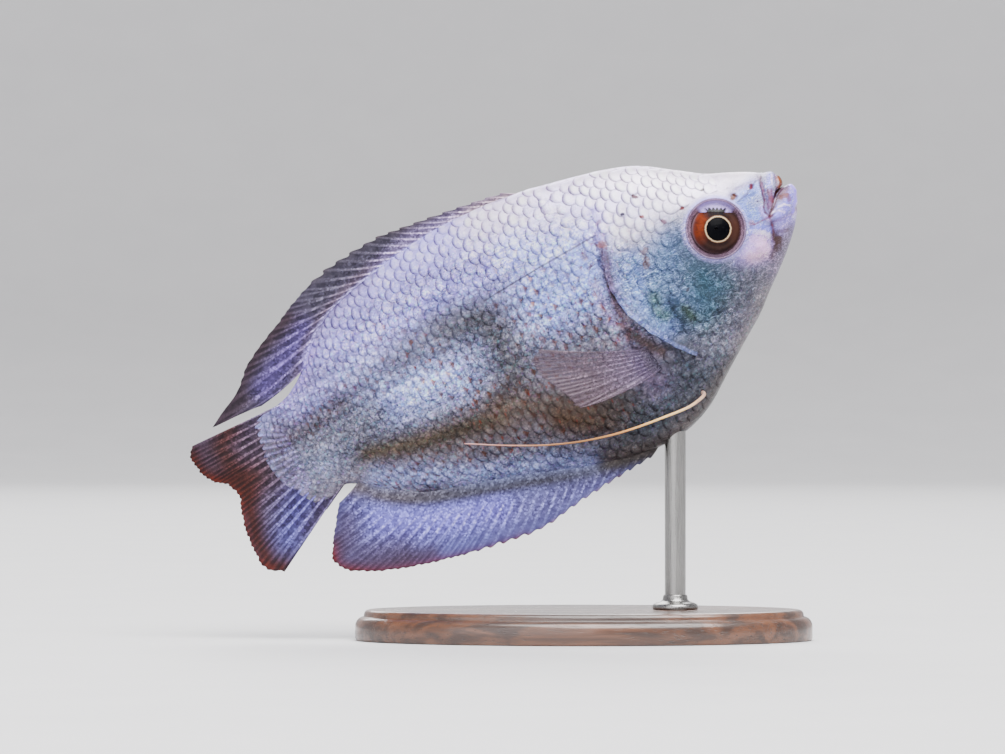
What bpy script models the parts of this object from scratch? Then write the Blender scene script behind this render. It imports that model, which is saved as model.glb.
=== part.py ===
"""A dwarf gourami, modelled life size as a still museum figure on a display stand.

The fish is drawn in its own side view: s runs aft from the tip of the lower jaw, h runs up from the
line through the eye, and y is the distance out from the middle plane, all in millimetres. place()
turns that view into the part's frame: nose up by PITCH, head towards +X, left side towards +Y, with
the origin under the middle of the stand.
"""

import math

import bpy
import numpy as np

MM = 0.001
GAP = 0.3

# Pose and stand
PITCH = math.radians(28.0)
TAIL_SWING = 1.6
SWING_FROM = 38.0
SWING_TO = 75.0
BASE_LENGTH = 52.0
BASE_WIDTH = 30.0
BASE_THICK = 3.5
BASE_BEVEL = 0.8
ROD_RADIUS = 1.2
ROD_AT = 25.5
JAW_AHEAD = 24.0
JAW_HEIGHT = 51.5

# Body: (s, value) stations along the fish
BACK = (
    (6.5, 5.3), (8.0, 6.05), (10.0, 7.4), (12.0, 8.85), (14.0, 10.25), (16.0, 11.25), (20.0, 12.5),
    (24.0, 13.45), (28.0, 14.3), (33.0, 14.9), (38.0, 15.1), (43.0, 14.75), (48.0, 14.0), (53.0, 12.7),
    (56.0, 11.2), (58.0, 9.4), (60.0, 7.5), (62.0, 6.3), (64.5, 5.6),
)
BELLY = (
    (6.5, -7.9), (8.0, -9.15), (10.0, -10.85), (13.0, -12.8), (17.0, -15.45), (20.0, -17.45), (22.0, -18.3),
    (25.0, -18.95), (27.0, -19.0), (30.0, -18.6), (34.0, -17.6), (38.0, -16.3), (42.0, -14.9),
    (46.0, -13.7), (50.0, -12.55), (54.0, -11.1), (56.0, -9.9), (58.0, -8.1), (60.0, -6.4), (62.0, -5.6),
    (64.5, -5.2),
)
HALF_WIDTH = (
    (0.0, 1.2), (6.5, 3.05), (10.0, 4.0), (14.0, 4.75), (18.0, 5.2), (23.0, 5.35), (29.0, 5.15),
    (36.0, 4.55), (43.0, 3.8), (50.0, 3.0), (56.0, 2.25), (60.0, 1.6), (64.5, 1.0),
)
WIDEST_AT = ((6.5, -1.2), (12.0, -1.8), (20.0, -2.5), (30.0, -2.0), (45.0, 0.5), (64.5, 0.4))
EDGE_POWER = ((0.0, 0.54), (26.0, 0.54), (46.0, 0.68), (58.0, 0.66), (64.5, 0.56))

# Mouth, seen from the side
LIP_TOP = (1.2, 0.95)
LIP_LOW = (1.0, 0.66)
MOUTH_CORNER = (4.5, -1.6)
MOUTH_HALF_WIDTH = 2.0
GAPE_BOW = 0.45
SNOUT = (LIP_TOP, (1.02, 1.5), (1.2, 2.2), (1.6, 2.7), (2.4, 3.1), (4.0, 4.05), (6.5, 5.3))
CHIN = (LIP_LOW, (0.35, 0.56), (0.08, 0.1), (0.5, -1.5), (1.9, -3.65), (4.0, -5.8), (6.5, -7.9))
LIP_BULGE = 0.22
LIP_SPREAD = 0.5
CHEEK_BULGE = 0.3

# Eye and nostrils
EYE_AT = (10.35, 0.0)
EYE_RADIUS = 2.95
EYE_DEPTH = 1.9
EYE_PROUD = 0.75
CORNEA_RADIUS = 1.5
CORNEA_RISE = 0.25
ORBIT_RADIUS = 3.5
ORBIT_HEIGHT = 0.2
ORBIT_SPREAD = 0.9
NOSTRILS = ((6.8, 2.2), (4.6, 2.3))
NOSTRIL_RADIUS = 0.34
NOSTRIL_DEPTH = 0.5
NOSTRIL_SIDES = 10

# Gill opening and gill cover
GILL_EDGE = ((21.3, 9.0), (22.4, 5.5), (23.4, 2.0), (23.7, -1.0), (23.2, -3.8), (22.2, -6.2), (21.0, -8.7),
             (19.6, -11.0), (18.0, -13.2))
GILL_TOP = 20.0
GILL_LOW = 16.6
FLARE = 0.35
FLARE_LENGTH = 3.0
COVER_FRONT = ((18.9, 3.2), (18.3, 0.2), (17.7, -3.5), (17.3, -6.8), (17.2, -9.6))
COVER_REAR = ((22.5, 3.4), (23.35, 1.6), (23.6, -1.0), (23.1, -3.8), (22.1, -6.2), (20.9, -8.7), (19.9, -10.3))
COVER_THICK = 1.0

# Flank
TAIL_FROM = 56.0
GROOVE_AT = 1.6
GROOVE_DEPTH = 0.22
MUSCLE_AT = -1.6
MUSCLE_HEIGHT = 0.25
BAND_SPREAD = 1.5

# Fins: rays, and the free edge as (share along the root, s, h)
MEMBRANE = 0.5
TIP_THICK = 0.34
RAY_HEIGHT = 0.2
NOTCH = 0.045
FIN_ROWS = np.array([0.0, 0.12, 0.3, 0.5, 0.7, 0.87, 1.0])
DORSAL_ROOT = (28.5, 59.6)
DORSAL_RAYS = 24
DORSAL_EDGE = (
    (0.0, 29.8, 15.1), (0.12, 34.5, 15.9), (0.31, 42.0, 17.0), (0.4, 45.0, 17.35), (0.56, 51.5, 16.85),
    (0.66, 55.5, 15.6), (0.76, 59.5, 13.8), (0.85, 64.4, 11.45), (0.913, 66.9, 9.3), (0.957, 71.3, 6.95),
    (0.975, 68.0, 6.8), (1.0, 65.3, 6.5),
)
ANAL_ROOT = (27.9, 60.0)
ANAL_RAYS = 31
ANAL_EDGE = (
    (0.0, 28.9, -19.5), (0.1, 33.0, -19.75), (0.22, 38.5, -20.2), (0.33, 43.6, -20.85), (0.44, 48.5, -20.2),
    (0.55, 53.5, -19.1), (0.66, 59.0, -17.6), (0.74, 63.0, -16.0), (0.8, 65.6, -14.3), (0.84, 66.3, -12.9),
    (0.9, 65.4, -11.1), (0.96, 63.8, -8.9), (1.0, 62.6, -7.4),
)
ANAL_FLARE = 0.8
CAUDAL_ROOT = ((63.6, 5.65), (64.2, 2.5), (64.0, -0.5), (62.8, -3.2), (61.0, -5.6))
CAUDAL_RAYS = 17
CAUDAL_EDGE = (
    (0.0, 74.3, 6.15), (0.06, 75.2, 5.2), (0.16, 75.1, 3.6), (0.28, 74.4, 1.7), (0.4, 72.9, 0.3),
    (0.48, 72.4, -1.2), (0.6, 73.1, -3.4), (0.74, 73.7, -6.2), (0.88, 73.8, -9.0), (0.95, 73.2, -10.5),
    (1.0, 71.7, -11.35),
)
CAUDAL_CUP = 1.3
PECTORAL_ROOT = ((24.5, -7.95), (24.3, -11.15))
PECTORAL_RAYS = 10
PECTORAL_EDGE = (
    (0.0, 34.4, -2.65), (0.12, 35.9, -3.25), (0.3, 35.9, -4.7), (0.5, 35.0, -6.9), (0.68, 34.2, -8.7),
    (0.82, 33.6, -10.5), (0.92, 31.5, -11.1), (1.0, 28.5, -11.35),
)
PECTORAL_SPREAD = 2.6
PECTORAL_STUB = 0.8
PELVIC_ROOT = (20.3, -15.7)
PELVIC_STUB = 0.9
PELVIC_PATH = (
    (22.4, -16.35, 1.3), (25.5, -16.05, 1.3), (30.0, -15.4, 1.3), (34.0, -14.4, 1.4), (38.0, -12.9, 1.6),
    (42.0, -10.9, 1.8), (46.8, -8.1, 2.0),
)
PELVIC_RADIUS = 0.3
PELVIC_SWELL = 0.22
PELVIC_TIP = 0.16

# How finely the solids are faceted
HEAD_RINGS = 16
FACE_RINGS = 12
HEAD_POINTS = 27
RING_POINTS = 21
TORSO_RINGS = 22
TAIL_RINGS = 6
COVER_GRID = (8, 13)
EYE_SIDES = 24
TUBE_SIDES = 6
TUBE_RINGS = 26
BASE_SIDES = 48
ROD_SIDES = 20

COLOURS = {
    "skin": ((0.56, 0.56, 0.74), 0.35, 0.3),
    "gill": ((0.34, 0.43, 0.55), 0.35, 0.3),
    "fin": ((0.48, 0.46, 0.66), 0.4, 0.15),
    "tail": ((0.42, 0.24, 0.2), 0.45, 0.1),
    "clear": ((0.66, 0.6, 0.72), 0.35, 0.0),
    "thread": ((0.82, 0.6, 0.38), 0.4, 0.0),
    "eye": ((0.3, 0.12, 0.05), 0.1, 0.0),
    "base": ((0.05, 0.035, 0.03), 0.35, 0.0),
    "rod": ((0.72, 0.72, 0.7), 0.25, 1.0),
}


def smooth(knots, values):
    """A curve through values at knots, cubic between them, that never overshoots a knot."""
    knots = np.asarray(knots, float)
    values = np.asarray(values, float).reshape(len(knots), -1)
    step = np.diff(knots)[:, None]
    chord = np.diff(values, axis=0) / step
    slope = np.vstack([chord[:1], np.zeros_like(chord[1:]), chord[-1:]])
    same = chord[:-1] * chord[1:] > 0
    near, far = 2 * step[1:] + step[:-1], step[1:] + 2 * step[:-1]
    first = np.where(same, chord[:-1], 1.0)
    second = np.where(same, chord[1:], 1.0)
    slope[1:-1] = np.where(same, (near + far) / (near / first + far / second), 0.0)

    def at(place):
        place = np.asarray(place, float)
        flat = np.clip(place.ravel(), knots[0], knots[-1])
        i = np.clip(np.searchsorted(knots, flat) - 1, 0, len(knots) - 2)
        h = step[i]
        t = ((flat - knots[i]) / step[i, 0])[:, None]
        found = (
            (1 + 2 * t) * (1 - t) ** 2 * values[i]
            + t * (1 - t) ** 2 * h * slope[i]
            + t * t * (3 - 2 * t) * values[i + 1]
            + t * t * (t - 1) * h * slope[i + 1]
        )
        return found.reshape(place.shape + (values.shape[1],))

    return at


def along(points):
    """A smooth curve through points, by its share of the length from 0 to 1."""
    points = np.asarray(points, float)
    length = np.concatenate([[0.0], np.cumsum(np.linalg.norm(np.diff(points, axis=0), axis=1))])
    return smooth(length / length[-1], points)


def station(rows):
    """A smooth function of s through (s, value) rows."""
    rows = np.asarray(rows, float)
    curve = smooth(rows[:, 0], rows[:, 1])
    return lambda s: curve(s)[..., 0]


back = station(BACK)
belly = station(BELLY)
half_width = station(HALF_WIDTH)
widest_at = station(WIDEST_AT)
edge_power = station(EDGE_POWER)


def bump(distance, spread):
    """A rounded hill, 1 at its middle."""
    return np.exp(-((distance / spread) ** 2))


def ramp(value, start, end):
    """0 before start, 1 after end, smooth between."""
    t = np.clip((value - start) / (end - start), 0.0, 1.0)
    return t * t * (3 - 2 * t)


def distance_to(points, s, h):
    """Distance in the side view from (s, h) to a smooth line through points."""
    line = along(points)(np.linspace(0, 1, 60))
    apart = np.hypot(s[..., None] - line[:, 0], h[..., None] - line[:, 1])
    return apart.min(axis=-1)


def flank(s, h):
    """Half width of the plain body at (s, h): an oval section that closes on back and belly."""
    middle = widest_at(s)
    reach = np.where(h > middle, back(s) - middle, middle - belly(s))
    share = np.clip(np.abs(h - middle) / reach, 0.0, 1.0)
    return half_width(s) * (1 - share**2) ** edge_power(s)


def relief(s, h):
    """What muscle, orbit and gill cover add to the plain body."""
    rear = ramp(s, 32.0, 42.0) * (1 - ramp(s, 56.0, 62.0))
    groove = -GROOVE_DEPTH * bump(h - GROOVE_AT, BAND_SPREAD)
    muscle = MUSCLE_HEIGHT * bump(h - MUSCLE_AT, BAND_SPREAD)
    from_eye = np.hypot(s - EYE_AT[0], h - EYE_AT[1])
    orbit = ORBIT_HEIGHT * bump(from_eye - ORBIT_RADIUS, ORBIT_SPREAD)
    return rear * (groove + muscle) + orbit


def flare(s, h):
    """How far the head and gill cover stand out from the trunk, rising towards the gill edge."""
    near = distance_to(GILL_EDGE, s, h)
    return FLARE * (1 - ramp(near, 0.0, FLARE_LENGTH)) * (1 - ramp(np.abs(h + 2.5), 8.0, 12.0))


def edge_fade(s, h):
    """0 on the back and belly lines and 1 a millimetre inside them, so that relief leaves them sharp."""
    inside = np.minimum(back(s) - h, h - belly(s))
    return ramp(inside, 0.0, 1.2)


def place(points, side=1.0):
    """Side-view points (s, h, y) in the part's frame, in metres. side is 1 for left, -1 for right."""
    s, h, y = np.moveaxis(np.asarray(points, float), -1, 0)
    swing = TAIL_SWING * np.clip((s - SWING_FROM) / (SWING_TO - SWING_FROM), 0.0, None) ** 2
    x = JAW_AHEAD - s * math.cos(PITCH) - h * math.sin(PITCH)
    z = JAW_HEIGHT - s * math.sin(PITCH) + h * math.cos(PITCH)
    return np.stack([x, side * y + swing, z], axis=-1) * MM


def material(name):
    """One plain painted finish."""
    colour, roughness, metallic = COLOURS[name]
    made = bpy.data.materials.get(name) or bpy.data.materials.new(name)
    made.use_nodes = True
    shader = made.node_tree.nodes["Principled BSDF"]
    shader.inputs["Base Color"].default_value = (*colour, 1.0)
    shader.inputs["Roughness"].default_value = roughness
    shader.inputs["Metallic"].default_value = metallic
    made.diffuse_color = (*colour, 1.0)
    return made


def solid(name, points, faces, finish):
    """A mesh object whose faces all point out."""
    mesh = bpy.data.meshes.new(name)
    mesh.from_pydata([tuple(p) for p in points], [], [tuple(f) for f in faces])
    mesh.materials.append(material(finish))
    made = bpy.data.objects.new(name, mesh)
    bpy.context.collection.objects.link(made)
    volume = sum(
        np.dot(points[f[0]], np.cross(points[f[i]], points[f[i + 1]]))
        for f in faces
        for i in range(1, len(f) - 1)
    )
    if volume < 0:
        mesh.flip_normals()
    mesh.shade_smooth()
    mesh.set_sharp_from_angle(angle=math.radians(50))
    return made


def helper(made):
    """Marks a cutter, which the object itself doesn't show."""
    made.hide_render = True
    made.display_type = "WIRE"
    return made


def cut(target, cutter):
    """Takes the cutter's shape out of the target, and drops the cutter."""
    modifier = target.modifiers.new("Cut", "BOOLEAN")
    modifier.operation = "DIFFERENCE"
    modifier.object = cutter
    modifier.solver = "EXACT"
    graph = bpy.context.evaluated_depsgraph_get()
    result = bpy.data.meshes.new_from_object(target.evaluated_get(graph))
    target.modifiers.clear()
    target.data = result
    bpy.data.objects.remove(cutter)


def tube_faces(rings, across):
    """Quads round a stack of closed rings of equal size."""
    return [
        (i * across + j, i * across + (j + 1) % across, (i + 1) * across + (j + 1) % across,
         (i + 1) * across + j)
        for i in range(rings - 1)
        for j in range(across)
    ]


def bar_cap(first, across):
    """Closes a ring with bars from its right half to its left half."""
    half = across // 2
    faces = [(first, first + 1, first + across - 1)]
    faces += [(first + j, first + j + 1, first + across - j - 1, first + across - j) for j in range(1, half - 1)]
    faces += [(first + half - 1, first + half, first + half + 1)]
    return faces


def body_piece(name, grid, finish):
    """A closed solid from half rings (rings, points, 3): the right half, its mirror, and a cap at each end."""
    right = place(grid, -1.0)
    left = place(grid[:, -2:0:-1], 1.0)
    points = np.concatenate([right, left], axis=1)
    rings, across = points.shape[:2]
    faces = tube_faces(rings, across)
    faces += [f[::-1] for f in bar_cap(0, across)]
    faces += bar_cap((rings - 1) * across, across)
    return solid(name, points.reshape(-1, 3), faces, finish)


def side_grid(top, bottom, front, rear):
    """A grid in the side view bounded by four curves, each blended into the next across the middle."""
    u = np.linspace(0, 1, len(top))[:, None, None]
    v = np.linspace(0, 1, len(front))[None, :, None]
    corners = (
        (1 - u) * (1 - v) * front[0] + (1 - u) * v * front[-1] + u * (1 - v) * rear[0] + u * v * rear[-1]
    )
    ruled = (1 - v) * top[:, None] + v * bottom[:, None] + (1 - u) * front[None] + u * rear[None]
    return ruled - corners


def ring_angles(count=RING_POINTS):
    return np.linspace(math.pi / 2, -math.pi / 2, count)


def upright_ring(s, count=RING_POINTS):
    """Side-view points of the upright section at s, closer together towards back and belly."""
    angle = ring_angles(count)
    middle = float(widest_at(s))
    up, down = float(back(s)) - middle, middle - float(belly(s))
    h = middle + np.where(angle > 0, up, down) * np.sin(angle)
    return np.stack([np.full(count, float(s)), h], axis=-1)


def edge_ring(points, count=RING_POINTS):
    """Side-view points along a slanting or curved section line, spaced as upright_ring's are."""
    share = (1 - np.sin(ring_angles(count))) / 2
    return along(points)(share)


def gill_line(shift):
    """The gill opening from back to belly, moved aft by shift."""
    low = GILL_LOW + shift
    top = GILL_TOP + shift
    middle = [(s + shift, h) for s, h in GILL_EDGE]
    return [(top, float(back(top))), *middle, (low, float(belly(low)))]


def profile(curve, start, end, count):
    s = np.linspace(start, end, count)
    return np.stack([s, curve(s)], axis=-1)


def lip_ring(count=HEAD_POINTS):
    """Half of the lips' inner edge, from the middle of the upper lip to the corner and back along the lower."""
    q = 1 - np.abs(np.linspace(-1, 1, count))
    upper = np.linspace(-1, 1, count) <= 0
    start = np.where(upper[:, None], LIP_TOP, LIP_LOW)
    turn = q * math.pi / 2
    s = start[:, 0] + (MOUTH_CORNER[0] - start[:, 0]) * (1 - np.cos(turn))
    share = (s - start[:, 0]) / (MOUTH_CORNER[0] - start[:, 0])
    h = start[:, 1] + (MOUTH_CORNER[1] - start[:, 1]) * share + GAPE_BOW * np.sin(math.pi * share)
    y = MOUTH_HALF_WIDTH * np.sin(turn)
    return np.stack([s, h, y], axis=-1)


def face_grid(rings=FACE_RINGS, count=HEAD_POINTS):
    """Snout and jaws: half rings that open out from the lips to an upright section at the cheeks."""
    share = np.linspace(0, 1, rings) ** 1.25
    collar = upright_ring(SNOUT[-1][0], count)
    collar = np.concatenate([collar, flank(collar[:, 0], collar[:, 1])[:, None]], axis=1)
    lips = lip_ring(count)
    zero = np.zeros((rings, 1))
    top = np.concatenate([along(SNOUT)(share), zero], axis=1)
    bottom = np.concatenate([along(CHIN)(share), zero], axis=1)
    u = share[:, None, None]
    v = np.linspace(0, 1, count)[None, :, None]
    corners = (
        (1 - u) * (1 - v) * lips[0] + (1 - u) * v * lips[-1] + u * (1 - v) * collar[0] + u * v * collar[-1]
    )
    grid = (1 - v) * top[:, None] + v * bottom[:, None] + (1 - u) * lips[None] + u * collar[None] - corners
    rounding = np.sin(math.pi * v[..., 0]) ** 1.5
    out = np.linalg.norm(grid - grid[:1], axis=-1)
    grid[..., 2] += rounding * (CHEEK_BULGE * np.sin(math.pi * u[..., 0]) ** 2)
    grid[..., 2] += rounding * LIP_BULGE * bump(out - LIP_SPREAD, LIP_SPREAD / 1.6)
    return grid


def dressed(grid, with_flare):
    """Gives side-view points their distance out: plain body, relief and, on the head, the flare."""
    s, h = grid[..., 0], grid[..., 1]
    extra = relief(s, h) + (flare(s, h) if with_flare else 0.0)
    y = flank(s, h) + extra * edge_fade(s, h)
    y[:, 0] = y[:, -1] = 0.0
    return np.concatenate([grid, y[..., None]], axis=-1)


def eye_profile():
    """(radius, distance out) from the back of the eyeball to the front of the cornea."""
    angle = np.linspace(-math.pi / 2, math.pi / 2, 13)
    radius = EYE_RADIUS * np.cos(angle)
    out = EYE_DEPTH * np.sin(angle) + CORNEA_RISE * bump(radius, CORNEA_RADIUS) * (angle > 0)
    return radius, out


def out_of(s, h):
    """A point on the plain body at (s, h), and the unit vector out of the body there."""
    step = 0.05
    here = float(flank(np.array(s), np.array(h)))
    aft = float(flank(np.array(s + step), np.array(h)) - flank(np.array(s - step), np.array(h))) / (2 * step)
    up = float(flank(np.array(s), np.array(h + step)) - flank(np.array(s), np.array(h - step))) / (2 * step)
    normal = np.array([-aft, -up, 1.0])
    return np.array([s, h, here]), normal / np.linalg.norm(normal)


def eyeball(name, side, grow, finish):
    """A flattened ball with a raised cornea, round in the side view and leaning with the cheek."""
    radius, out = eye_profile()
    seat, normal = out_of(*EYE_AT)
    lean = -normal[:2] / normal[2]
    middle = seat[2] + EYE_PROUD - EYE_DEPTH
    turn = np.linspace(0, 2 * math.pi, EYE_SIDES, endpoint=False)
    wide = 1 + grow / EYE_RADIUS
    deep = 1 + grow / EYE_DEPTH
    rim = radius[1:-1, None] * wide
    s = EYE_AT[0] + rim * np.cos(turn)
    h = EYE_AT[1] + rim * np.sin(turn)
    y = middle + out[1:-1, None] * deep + lean[0] * (s - EYE_AT[0]) + lean[1] * (h - EYE_AT[1])
    points = np.stack([s, h, y], axis=-1).reshape(-1, 3)
    poles = [(*EYE_AT, middle + out[0] * deep), (*EYE_AT, middle + out[-1] * deep)]
    points = np.concatenate([points, poles])
    rings = len(radius) - 2
    last = rings * EYE_SIDES
    faces = tube_faces(rings, EYE_SIDES)
    faces += [((j + 1) % EYE_SIDES, j, last) for j in range(EYE_SIDES)]
    top = last - EYE_SIDES
    faces += [(top + j, top + (j + 1) % EYE_SIDES, last + 1) for j in range(EYE_SIDES)]
    return solid(name, place(points, side), faces, finish)


def slab(name, outer, inner, side, finish):
    """A closed plate between an outer and an inner grid of the same shape, split alike on both faces."""
    rows, columns = outer.shape[:2]
    points = np.concatenate([place(outer, side).reshape(-1, 3), place(inner, side).reshape(-1, 3)])
    back_side = rows * columns
    faces = []
    for i in range(rows - 1):
        for j in range(columns - 1):
            a, b = i * columns + j, i * columns + j + 1
            c, d = b + columns, a + columns
            faces += [(a, b, c), (a, c, d)]
            faces += [(back_side + c, back_side + b, back_side + a), (back_side + d, back_side + c, back_side + a)]
    rim = [j for j in range(columns)]
    rim += [i * columns + columns - 1 for i in range(1, rows)]
    rim += [(rows - 1) * columns + j for j in range(columns - 2, -1, -1)]
    rim += [i * columns for i in range(rows - 2, 0, -1)]
    for a, b in zip(rim, rim[1:] + rim[:1]):
        faces += [(b, a, back_side + a), (b, back_side + a, back_side + b)]
    return solid(name, points, faces, finish)


def cover_grid(front, rear):
    """The gill cover's outline in the side view, as a grid."""
    rows, columns = COVER_GRID
    front = along(front)(np.linspace(0, 1, columns))
    rear = along(rear)(np.linspace(0, 1, columns))
    bow = 0.6 * np.sin(np.linspace(0, math.pi, rows))[:, None] * np.array([[0.0, 1.0]])
    top = front[0] + (rear[0] - front[0]) * np.linspace(0, 1, rows)[:, None] + bow
    low = front[-1] + (rear[-1] - front[-1]) * np.linspace(0, 1, rows)[:, None] - bow
    return side_grid(top, low, front, rear)


def gill_cover(side, name):
    """The bony plate over the gills, its rear edge standing free of the trunk."""
    grid = cover_grid(COVER_FRONT, COVER_REAR)
    outer = dressed_open(grid)
    inner = outer - np.array([0.0, 0.0, COVER_THICK])
    return slab(name, outer, inner, side, "gill")


def dressed_open(grid):
    """As dressed(), for a grid that doesn't reach the back or belly."""
    s, h = grid[..., 0], grid[..., 1]
    y = flank(s, h) + (relief(s, h) + flare(s, h)) * edge_fade(s, h)
    return np.concatenate([grid, y[..., None]], axis=-1)


def cover_seat(side):
    """The space that the gill cover and its gap take out of the head."""
    front = [(s - GAP, h + GAP * (1 if h > 0 else 0) - GAP * (1 if i == len(COVER_FRONT) - 1 else 0))
             for i, (s, h) in enumerate(COVER_FRONT)]
    rear = [(s + 2.0, h + GAP * (1 if i == 0 else 0) - GAP * (1 if i == len(COVER_REAR) - 1 else 0))
            for i, (s, h) in enumerate(COVER_REAR)]
    grid = cover_grid(front, rear)
    outer = dressed_open(grid)
    inner = outer - np.array([0.0, 0.0, COVER_THICK + GAP])
    return helper(slab("cover_seat", outer + np.array([0.0, 0.0, 2.0]), inner, side, "gill"))


def nostril_drill(at, side):
    """A short cone that drills one nostril, square to the snout."""
    seat, normal = out_of(*at)
    first = np.cross(normal, [0.0, 1.0, 0.0])
    first /= np.linalg.norm(first)
    second = np.cross(normal, first)
    turn = np.linspace(0, 2 * math.pi, NOSTRIL_SIDES, endpoint=False)[:, None]
    ring = np.cos(turn) * first + np.sin(turn) * second
    inner = seat - NOSTRIL_DEPTH * normal + 0.6 * NOSTRIL_RADIUS * ring
    outer = seat + 2.0 * normal + 2.4 * NOSTRIL_RADIUS * ring
    faces = tube_faces(2, NOSTRIL_SIDES)
    faces.append(tuple(range(NOSTRIL_SIDES))[::-1])
    faces.append(tuple(NOSTRIL_SIDES + j for j in range(NOSTRIL_SIDES)))
    return helper(solid("drill", place(np.concatenate([inner, outer]), side), faces, "skin"))


def head():
    """Snout, cheeks and nape, with the mouth slot, eye sockets and seats for the gill covers."""
    gill = edge_ring(gill_line(0.0), HEAD_POINTS)
    start = SNOUT[-1][0]
    count = HEAD_RINGS
    share = np.linspace(0, 1, count)
    top = np.stack([start + (GILL_TOP - start) * share, back(start + (GILL_TOP - start) * share)], axis=-1)
    low = np.stack([start + (GILL_LOW - start) * share, belly(start + (GILL_LOW - start) * share)], axis=-1)
    rear = dressed(side_grid(top, low, upright_ring(start, HEAD_POINTS), gill), True)
    face = face_grid()
    face[..., 2] += relief(face[..., 0], face[..., 1]) * np.sin(np.linspace(0, math.pi, HEAD_POINTS))
    made = body_piece("head", np.concatenate([face[:-1], rear]), "skin")
    for side in (-1.0, 1.0):
        cut(made, helper(eyeball("socket", side, GAP, "skin")))
        cut(made, cover_seat(side))
        for at in NOSTRILS:
            cut(made, nostril_drill(at, side))
    return made


def torso():
    """The trunk from the gill opening to the tail stalk."""
    front = edge_ring(gill_line(GAP))
    top = profile(back, GILL_TOP + GAP, TAIL_FROM, TORSO_RINGS)
    low = profile(belly, GILL_LOW + GAP, TAIL_FROM, TORSO_RINGS)
    grid = side_grid(top, low, front, upright_ring(TAIL_FROM))
    return body_piece("torso", dressed(grid, False), "skin")


def tail_stalk():
    """The short deep stalk that carries the tail fin."""
    start = TAIL_FROM + GAP
    root = edge_ring(CAUDAL_ROOT) - np.array([GAP, 0.0])
    top_end, low_end = root[0], root[-1]
    root[0, 1] = float(back(top_end[0]))
    root[-1, 1] = float(belly(low_end[0]))
    top = profile(back, start, top_end[0], TAIL_RINGS)
    low = profile(belly, start, low_end[0], TAIL_RINGS)
    grid = side_grid(top, low, upright_ring(start), root)
    return body_piece("tail_stalk", dressed(grid, False), "skin")


def ray_columns(rays):
    """Shares along the root, one at each ray and one between, and 1 on a ray or 0 between."""
    share = np.linspace(0, 1, 2 * rays - 1)
    on_ray = (np.arange(2 * rays - 1) % 2 == 0).astype(float)
    return share, on_ray


def fin_sheet(root, edge, rays, bow):
    """The fin's middle sheet (columns, rows, 2) in the side view, its free edge notched between rays."""
    share, on_ray = ray_columns(rays)
    start = root(share)
    edge = np.asarray(edge, float)
    end = smooth(edge[:, 0], edge[:, 1:])(share)
    reach = end - start
    reach = reach * (1 + NOTCH * (2 * on_ray[:, None] - 1) * np.minimum(1.0, 3 / np.linalg.norm(reach, axis=1))[:, None])
    across = np.stack([-reach[:, 1], reach[:, 0]], axis=-1)
    row = FIN_ROWS[None, :, None]
    return start[:, None] + reach[:, None] * row + across[:, None] * (4 * bow * row * (1 - row))


def fin_solid(name, sheet, on_ray, root_thick, finish, side=1.0):
    """A membrane with raised rays on both faces, thinning to its free edge."""
    along_root = np.gradient(sheet, axis=0)
    along_ray = np.gradient(sheet, axis=1)
    normal = np.cross(along_root, along_ray)
    normal /= np.linalg.norm(normal, axis=-1, keepdims=True)
    row = FIN_ROWS[None, :]
    thick = MEMBRANE + (root_thick - MEMBRANE) * np.exp(-row * 7) - (MEMBRANE - TIP_THICK) * ramp(row, 0.8, 1.0)
    thick = thick + 2 * RAY_HEIGHT * on_ray[:, None] * ramp(row, -0.05, 0.12) * (1 - 0.75 * row)
    offset = normal * (thick / 2)[..., None]
    return slab(name, sheet + offset, sheet - offset, side, finish)


def with_side(sheet, y):
    return np.concatenate([sheet, np.broadcast_to(y, sheet.shape[:2])[..., None]], axis=-1)


def dorsal_fin():
    """Spiny fin along the back, swept aft, its soft rear rays drawn out to a point."""
    def root(share):
        s = DORSAL_ROOT[0] + (DORSAL_ROOT[1] - DORSAL_ROOT[0]) * share
        return np.stack([s, back(s) + GAP], axis=-1)

    share, on_ray = ray_columns(DORSAL_RAYS)
    sheet = fin_sheet(root, DORSAL_EDGE, DORSAL_RAYS, -0.03)
    lean = -0.5 * FIN_ROWS[None, :] ** 2 * ramp(share, 0.55, 0.9)[:, None]
    return fin_solid("dorsal_fin", with_side(sheet, lean), on_ray, 0.9, "fin")


def anal_fin():
    """Long fin under the belly, its soft rear lobe flaring a little to the right side."""
    def root(share):
        s = ANAL_ROOT[0] + (ANAL_ROOT[1] - ANAL_ROOT[0]) * share
        return np.stack([s, belly(s) - GAP], axis=-1)

    share, on_ray = ray_columns(ANAL_RAYS)
    sheet = fin_sheet(root, ANAL_EDGE, ANAL_RAYS, -0.03)
    lean = -ANAL_FLARE * FIN_ROWS[None, :] ** 1.5 * ramp(share, 0.25, 0.7)[:, None]
    return fin_solid("anal_fin", with_side(sheet, lean), on_ray, 1.0, "fin")


def caudal_fin():
    """Fan-shaped tail fin, cupped so that its upper and lower edges stand to the right of its middle."""
    share, on_ray = ray_columns(CAUDAL_RAYS)
    sheet = fin_sheet(along(CAUDAL_ROOT), CAUDAL_EDGE, CAUDAL_RAYS, 0.0)
    cup = -CAUDAL_CUP * (2 * share[:, None] - 1) ** 2 * FIN_ROWS[None, :] ** 1.3
    return fin_solid("caudal_fin", with_side(sheet, cup), on_ray, 1.3, "tail")


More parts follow.
